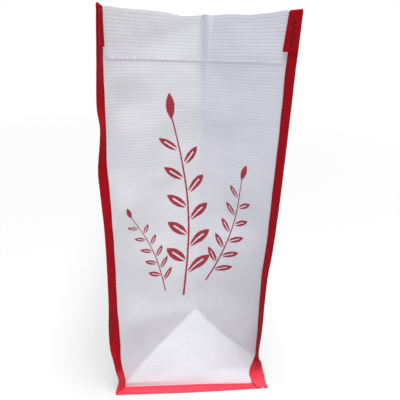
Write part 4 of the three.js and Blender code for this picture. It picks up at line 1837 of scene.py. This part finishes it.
@dataclass
class FootBinding(TapePiece):
    """The tape along a foot seam, folded over it and lying flat on the floor."""

    form: GussetForm
    ripples: tuple[Ripples, ...]
    kink: float = 17.0
    kink_rise: float = 0.55
    kink_width: float = 1.8
    low_edge: float = 0.4  # the lower ply's edge, out from the foot seam
    lift_from: float = 4.0  # the waves grow over this distance from it
    columns: int = 96

    # Plan of the tape for a near end: x of its two ends on the seam line and at its fold, and how far it
    # reaches out along its run.
    root_ends: tuple[float, float] = (-84.6, 89.0)
    fold_ends: tuple[float, float] = (-96.0, 98.0)
    widths: tuple[float, ...] = (12.2, 12.3, 12.5, 11.4, 9.8)

    def grid(self) -> SheetGrid:
        """Lays out the tape from its left end to its right one.

        Returns:
            Its middle, thicknesses and flat places.
        """
        run = np.linspace(0, 1, self.columns + 1)[:, None]
        width = np.interp(run, np.linspace(0, 1, len(self.widths)), self.widths)
        radius = (FOOT_TOP_PLY - FOOT_LOW_PLY) / 2
        middle = (FOOT_TOP_PLY + FOOT_LOW_PLY) / 2
        top = blend(FOOT_TAPE_EDGE, width - radius, np.linspace(0, 1, 12)[None, :])
        low = blend(width - radius, self.low_edge, np.linspace(0, 1, 8)[None, :])
        turns = np.radians(TAPE_TURNS)[None, :]
        out = np.concatenate([top, width - radius + radius * np.cos(turns), low], axis=1)
        dent = SEWN_DENT * np.exp(-(((top - FOOT_SEWN_AT) / SEWN_DENT_WIDTH) ** 2))
        fold = middle + radius * np.sin(turns) + 0 * run
        z = np.concatenate([FOOT_TOP_PLY - dent, fold, np.full(low.shape, FOOT_LOW_PLY)], axis=1)
        reach = np.clip(out / width, 0, 1)
        left = blend(self.root_ends[0], self.fold_ends[0], reach)
        right = blend(self.root_ends[1], self.fold_ends[1], reach)
        x = blend(left, right, run)
        lift = sum(r.at(x, out) for r in self.ripples) + self.kink_at(x)
        upper = np.clip((z - FOOT_LOW_PLY) / (FOOT_TOP_PLY - FOOT_LOW_PLY), 0, 1)
        on_turn = self.over_turn(out)
        z = np.where(z > middle, np.maximum(z, on_turn), z) + lift * upper * ramp(0.0, self.lift_from, out)
        grid = place(x - MIDDLE_X, self.form.end.value * (BODY_LENGTH / 2 + out), z)
        half = np.full(grid.shape[:2], TAPE_HALF)
        return SheetGrid(grid, half, half, flat_places(lengths_across(grid), x))

    def kink_at(self, x: Array) -> Array:
        """Gives the rise of the small fold across the tape."""
        return self.kink_rise * np.exp(-(((x - self.kink) / self.kink_width) ** 2))

    @staticmethod
    def over_turn(out: Array) -> Array:
        """Gives the height of a ply that lies on the gusset where it turns outwards.

        Args:
            out: Places outwards from the foot seam.

        Returns:
            Heights of the middle of the ply.
        """
        slope = np.clip(1 - out / FOOT_TURN_RADIUS, 0, 1)
        sine = np.sqrt(1 - slope**2) + LEAST_SINE
        return FOOT_TURN - FOOT_TURN_RADIUS * sine + (CLOTH_HALF + TAPE_HALF + PLAY) / sine

    def seam_paths(self) -> list[tuple[Array, Array]]:
        """Gives the row of stitches on the tape's upper face.

        Returns:
            One path with its directions out of the tape.
        """
        x = np.arange(self.root_ends[0] + 3, self.root_ends[1] - 4, 2.0)
        y = self.form.end.value * (BODY_LENGTH / 2 + FOOT_SEWN_AT)
        ply = max(FOOT_TOP_PLY - SEWN_DENT, float(self.over_turn(np.array(FOOT_SEWN_AT))))
        points = place(x - MIDDLE_X, y, ply + TAPE_HALF)
        return [(points, np.broadcast_to(np.array([0.0, 0.0, 1.0]), points.shape))]


@dataclass(frozen=True)
class SoftLight:
    """A square soft light: its place and what it faces, in metres, its side, its watts and its colour."""

    spot: tuple[float, float, float]
    aim: tuple[float, float, float]
    size: float
    power: float
    colour: str = "#ffffff"


AT_BAG = (0.0, -0.2, 0.2)
LAMPS = {
    "overhead": SoftLight(spot=(0.16, -0.5, 3.4), aim=(0.0, -0.2, 0.1), size=1.3, power=248.0),
    "cool_fill": SoftLight(spot=(-1.7, -1.7, 0.9), aim=AT_BAG, size=0.9, power=6.5, colour="#c8d4ff"),
    "warm_fill": SoftLight(spot=(1.5, -2.0, 0.9), aim=AT_BAG, size=0.9, power=4.0, colour="#ffe6dc"),
}


@dataclass
class Studio:
    """The camera, the floor and the soft lights."""

    camera_place: tuple[float, float, float] = (-24.51, -585.06, 423.1)
    heading: float = 4.47
    pitch: float = -21.52
    roll: float = 1.63
    lens: float = 34.0
    sensor: float = 36.0
    nearest: float = 0.01
    floor_size: float = 40.0
    room_light: float = 0.04

    def camera(self) -> None:
        """Makes the camera at the photograph's viewing angle."""
        heading, pitch, roll = (math.radians(a) for a in (self.heading, self.pitch, self.roll))
        forward = Vector(
            (math.cos(pitch) * math.sin(heading), math.cos(pitch) * math.cos(heading), math.sin(pitch))
        )
        level = Vector((math.cos(heading), -math.sin(heading), 0.0))
        upright = level.cross(forward)
        right = level * math.cos(roll) + upright * math.sin(roll)
        up = upright * math.cos(roll) - level * math.sin(roll)
        turn = Matrix((right, up, -forward)).transposed()
        data = bpy.data.cameras.new("camera")
        data.lens = self.lens
        data.sensor_width = self.sensor
        data.clip_start = self.nearest
        camera = bpy.data.objects.new("camera", data)
        camera.matrix_world = Matrix.Translation(Vector(self.camera_place) * MM) @ turn.to_4x4()
        bpy.context.scene.collection.objects.link(camera)
        bpy.context.scene.camera = camera

    def floor(self) -> None:
        """Makes the pale floor."""
        half = self.floor_size / 2
        mesh = bpy.data.meshes.new(Stage.FLOOR.value)
        corners = [(-half, -half, 0), (half, -half, 0), (half, half, 0), (-half, half, 0)]
        mesh.from_pydata(corners, [], [(0, 1, 2, 3)])
        add_object(Stage.FLOOR.value, mesh, StagePaint().build())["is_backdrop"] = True

    def area_light(self, name: str, lamp: SoftLight) -> None:
        """Makes one square soft light.

        Args:
            name: Its name.
            lamp: Its place, size, power and colour.
        """
        data = bpy.data.lights.new(name, "AREA")
        data.size = lamp.size
        data.energy = lamp.power
        data.color = linear(lamp.colour)[:3]
        light = bpy.data.objects.new(name, data)
        way = Vector(lamp.aim) - Vector(lamp.spot)
        light.matrix_world = Matrix.Translation(lamp.spot) @ way.to_track_quat("-Z", "Y").to_matrix().to_4x4()
        bpy.context.scene.collection.objects.link(light)

    def lights(self) -> None:
        """Hangs the lamps and gives the room a pale horizon."""
        for name, lamp in LAMPS.items():
            self.area_light(name, lamp)
        world = bpy.data.worlds.new("room")
        bpy.context.scene.world = world
        world.use_nodes = True
        world.node_tree.nodes.clear()
        add = partial(add_node, world.node_tree)
        path = add("ShaderNodeLightPath")
        strength = add(
            "ShaderNodeMapRange",
            {"Value": path.outputs["Is Camera Ray"], "To Min": self.room_light, "To Max": 1.0},
        )
        light = add("ShaderNodeBackground", {"Color": linear("#ffffff"), "Strength": strength})
        add("ShaderNodeOutputWorld", {"Surface": light})
        bpy.context.scene.view_settings.view_transform = "Standard"

    def make(self) -> None:
        """Sets the whole stage."""
        self.camera()
        self.floor()
        self.lights()


NEAR_LEFT = SmoothTable(
    (
        SeamRow(z=0, x=-86.0, inward=0, turn=53, width=16),
        SeamRow(z=4, x=-85.2, inward=0, turn=48, width=15.5),
        SeamRow(z=8, x=-84.4, inward=0, turn=42, width=13.4),
        SeamRow(z=15, x=-83.8, inward=0, turn=40),
        SeamRow(z=24, x=-85.3, inward=-0.1, turn=56),
        SeamRow(z=36, x=-87.2, inward=-0.1, turn=53),
        SeamRow(z=52, x=-88.3, inward=-0.2, turn=44),
        SeamRow(z=80, x=-87.4, inward=-0.3, turn=6, width=13.6),
        SeamRow(z=140, x=-88.1, inward=-0.6, turn=33),
        SeamRow(z=230, x=-87.8, inward=-0.9, turn=47),
        SeamRow(z=285, x=-88.6, inward=-1.2, turn=38),
        SeamRow(z=305, x=-89.8, inward=-1.2, turn=46),
        SeamRow(z=335, x=-89.0, inward=-1.3, turn=68),
        SeamRow(z=352, x=-88.3, inward=-1.3, turn=72),
        SeamRow(z=370, x=-87.9, inward=-1.4, turn=58),
        SeamRow(z=410, x=-87.4, inward=-1.6, turn=72),
        SeamRow(z=457, x=-85.5, inward=-1.8, turn=79),
    )
)
NEAR_RIGHT = SmoothTable(
    (
        SeamRow(z=0, x=88.5, inward=-3.0, turn=10, width=19.7),
        SeamRow(z=5, x=85.7, inward=0.3, turn=8, width=21.5),
        SeamRow(z=10, x=84.2, inward=3.2, turn=8, width=20.8),
        SeamRow(z=15, x=84.0, inward=6.0, turn=5, width=19.0),
        SeamRow(z=20, x=85.2, inward=8.6, turn=8, width=16.6),
        SeamRow(z=26, x=87.2, inward=10.9, turn=16, width=13.6),
        SeamRow(z=32, x=89.9, inward=12.3, turn=42, width=11.4),
        SeamRow(z=38, x=92.0, inward=12.6, turn=74, width=11.2),
        SeamRow(z=46, x=91.9, inward=12.0, turn=86, width=11.4),
        SeamRow(z=60, x=91.5, inward=10.4, turn=88),
        SeamRow(z=80, x=90.6, inward=8.0, turn=82),
        SeamRow(z=105, x=88.9, inward=5.0, turn=76, width=11.4),
        SeamRow(z=130, x=87.5, inward=2.2, turn=74),
        SeamRow(z=150, x=86.6, inward=0.0, turn=72),
        SeamRow(z=180, x=85.6, inward=-3.2, turn=70),
        SeamRow(z=215, x=86.0, inward=-6.4, turn=62),
        SeamRow(z=275, x=86.1, inward=-9.4, turn=56),
        SeamRow(z=330, x=86.2, inward=-10.2, turn=54),
        SeamRow(z=385, x=86.5, inward=-10.5, turn=54),
        SeamRow(z=410, x=86.1, inward=-10.6, turn=50),
        SeamRow(z=430, x=86.3, inward=-10.7, turn=48),
        SeamRow(z=457, x=86.4, inward=-10.8, turn=46),
    )
)
FAR_LEFT = SmoothTable(
    (
        SeamRow(z=0, x=-87.0, inward=0, turn=40, width=12.5),
        SeamRow(z=18, x=-86.2, inward=-0.8, turn=42),
        SeamRow(z=60, x=-88.0, inward=-2.4, turn=50),
        SeamRow(z=150, x=-87.5, inward=-5.2, turn=58),
        SeamRow(z=300, x=-86.8, inward=-8.9, turn=52),
        SeamRow(z=457, x=-85.0, inward=-9.9, turn=57),
    )
)
FAR_RIGHT = SmoothTable(
    (
        SeamRow(z=0, x=86.6, inward=0, turn=38, width=12.5),
        SeamRow(z=18, x=85.8, inward=-0.6, turn=44),
        SeamRow(z=60, x=87.6, inward=-2.2, turn=46),
        SeamRow(z=150, x=87.9, inward=-4.8, turn=44),
        SeamRow(z=300, x=87.2, inward=-7.0, turn=49),
        SeamRow(z=457, x=85.4, inward=-7.8, turn=55),
    )
)
NEAR_CREASE = SmoothTable(
    (
        CreaseRow(z=104, x=9.5, inward=29.5),
        CreaseRow(z=125, x=7.8, inward=30.4),
        CreaseRow(z=175, x=7.8, inward=32.4),
        CreaseRow(z=230, x=8.4, inward=37.2),
        CreaseRow(z=280, x=9.3, inward=40.2),
        CreaseRow(z=372, x=9.9, inward=41.2),
        CreaseRow(z=456, x=9.1, inward=42.2),
    )
)
FAR_CREASE = SmoothTable(
    (
        CreaseRow(z=104, x=-4.0, inward=31.0),
        CreaseRow(z=175, x=-5.2, inward=35.0),
        CreaseRow(z=300, x=-4.4, inward=39.0),
        CreaseRow(z=456, x=-3.0, inward=37.0),
    )
)
NEAR_DENTS = (
    Dent(x=-76, z=374, wide=24, tall=17, turn=-25, depth=1.3),
    Dent(x=-74, z=264, wide=24, tall=18, turn=10, depth=-1.2),
    Dent(x=-62, z=108, wide=26, tall=24, turn=35, depth=-1.8),
    Dent(x=29, z=326, wide=24, tall=32, turn=10, depth=1.6),
    Dent(x=54, z=240, wide=26, tall=24, turn=-15, depth=1.4),
    Dent(x=60, z=136, wide=26, tall=28, turn=0, depth=1.8),
    Dent(x=12.6, z=458, wide=3.6, tall=42, turn=0, depth=-6.5),
    Dent(x=-38, z=430, wide=30, tall=12, turn=28, depth=0.9),
)
FAR_DENTS = (
    Dent(x=-50, z=330, wide=26, tall=22, turn=20, depth=1.2),
    Dent(x=46, z=210, wide=24, tall=26, turn=-15, depth=1.4),
    Dent(x=-40, z=160, wide=24, tall=20, turn=-30, depth=-1.0),
)

NEAR_SWELLS = {
    Side.LEFT: (Swell(share=0.05, width=0.06, rise=0.9), Swell(share=0.79, width=0.14, rise=-2.3)),
    Side.RIGHT: (
        Swell(share=0.06, width=0.08, rise=1.6),
        Swell(share=0.43, width=0.15, rise=-1.2),
        Swell(share=0.85, width=0.1, rise=-0.5),
    ),
}
FAR_SWELLS = {
    Side.LEFT: (Swell(share=0.3, width=0.2, rise=0.5), Swell(share=0.8, width=0.15, rise=-0.8)),
    Side.RIGHT: (Swell(share=0.5, width=0.2, rise=-0.9),),
}

TABS = {
    Side.LEFT: TabShape(overlap_top=0.2, overlap_low=1.7, slant=1.6),
    Side.RIGHT: TabShape(overlap_top=1.8, overlap_low=4.5, slant=0.5),
}
NEAR_RIGHT_TAIL = TapeTail(
    start=12.0, knee=4.0, inner=(92.0, -211.0, 2.9), outer=(107.5, -210.5, 2.6), spread=0.16
)

SEAM_SEWING = {
    "Pitch": 4.2 * MM,
    "Keep Points": False,
    "Filled": 0.86,
    "Thread Radius": 0.24 * MM,
    "Rise": 0.5 * MM,
    "Wander": 0.06 * MM,
    "Seed": 11,
}
TAB_SEWING = {**SEAM_SEWING, "Keep Points": True}
HEM_SEWING = {
    "Pitch": 4.6 * MM,
    "Keep Points": False,
    "Filled": 0.93,
    "Thread Radius": 0.3 * MM,
    "Rise": 0.6 * MM,
    "Wander": 0.05 * MM,
    "Seed": 12,
}

BRANCHES = (
    Sprig(u=-16, v=128, lean=5, size=1.55),
    Sprig(u=14, v=150, lean=-16, size=1.0),
    Sprig(u=-40, v=140, lean=22, size=0.78),
)


NEAR_FORM = GussetForm(
    end=End.NEAR,
    seams={Side.LEFT: NEAR_LEFT, Side.RIGHT: NEAR_RIGHT},
    crease=NEAR_CREASE,
    fold_starts={Side.LEFT: 7.5, Side.RIGHT: 20.0},
    dents=NEAR_DENTS,
    ripples=(Ripples(0.35, 70.0, 3), Ripples(0.1, 22.0, 4)),
    swells=NEAR_SWELLS,
)
FAR_FORM = GussetForm(
    end=End.FAR,
    seams={Side.LEFT: FAR_LEFT, Side.RIGHT: FAR_RIGHT},
    crease=FAR_CREASE,
    fold_starts={Side.LEFT: 16.0, Side.RIGHT: 14.0},
    dents=FAR_DENTS,
    ripples=(Ripples(0.4, 75.0, 5), Ripples(0.1, 22.0, 6)),
    swells=FAR_SWELLS,
)


@dataclass(frozen=True)
class RaffiaBag:
    """The whole bag."""

    near: GussetForm = NEAR_FORM
    far: GussetForm = FAR_FORM
    panel_ripples: tuple[Ripples, ...] = (Ripples(0.9, 130.0, 9), Ripples(0.12, 30.0, 10))
    tape_ripples: tuple[Ripples, ...] = (Ripples(0.05, 14.0, 7), Ripples(0.03, 5.0, 8))
    tape_bottoms: tuple[float, float] = (2.2, 2.8)  # heights of the left and right tapes' lower ends

    def make(self) -> None:
        tape = BindingTape("red_woven_binding").build()
        plain = RaffiaCloth("white_woven_raffia").build()
        printed = RaffiaCloth("white_woven_raffia_printed", print=LeafPrint(BRANCHES)).build()
        red = SewingThread("red_polyester_thread", "#74101f").build()
        white = SewingThread("white_polyester_thread", "#f4f4f6").build()
        stitches = StitchTree()

        strip = BodyStrip(self.near, self.far, self.panel_ripples)
        body = strip.make("body", plain)

        hem_paths = [strip.hem_path(side, inside) for side in Side for inside in (False, True)]
        for form in (self.near, self.far):
            end = form.end.name.lower()
            gusset = Gusset(form)
            piece = gusset.make(f"gusset_{end}", printed if form.end is End.NEAR else plain)
            hem_paths += [gusset.hem_path(inside) for inside in (False, True)]
            rows = []
            tacks = []
            for side, bottom in zip(Side, self.tape_bottoms):
                tail = NEAR_RIGHT_TAIL if (form.end, side) == (End.NEAR, Side.RIGHT) else None
                binding = UprightBinding(form, side, bottom, TABS[side], self.tape_ripples, tail)
                upright = binding.make(f"binding_{end}_{side.name.lower()}", tape)
                rows += binding.seam_paths()
                tacks += binding.tack_path()
            foot = FootBinding(form, self.tape_ripples)
            low = foot.make(f"binding_{end}_foot", tape)
            rows += foot.seam_paths()
            fitted(stitches.sew(f"seam_stitches_{end}", rows, red, SEAM_SEWING), "binding")
            fitted(stitches.sew(f"tab_stitches_{end}", tacks, red, TAB_SEWING), "binding")
        fitted(stitches.sew("hem_stitches", hem_paths, white, HEM_SEWING), "raffia")


def corners(box: tuple[Vector, Vector]) -> list[list[float]]:
    """Turns a box into plain lists of numbers."""
    return [list(corner) for corner in box]


def main() -> None:
    """Loads the frame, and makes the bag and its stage."""
    logging.basicConfig(level=logging.INFO, format="%(name)s: %(message)s")
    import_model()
    cad_box = corners(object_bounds())
    Studio().make()
    RaffiaBag().make()
    {"cad": cad_box, "visual": corners(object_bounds())}


if __name__ == "__main__":
    main()
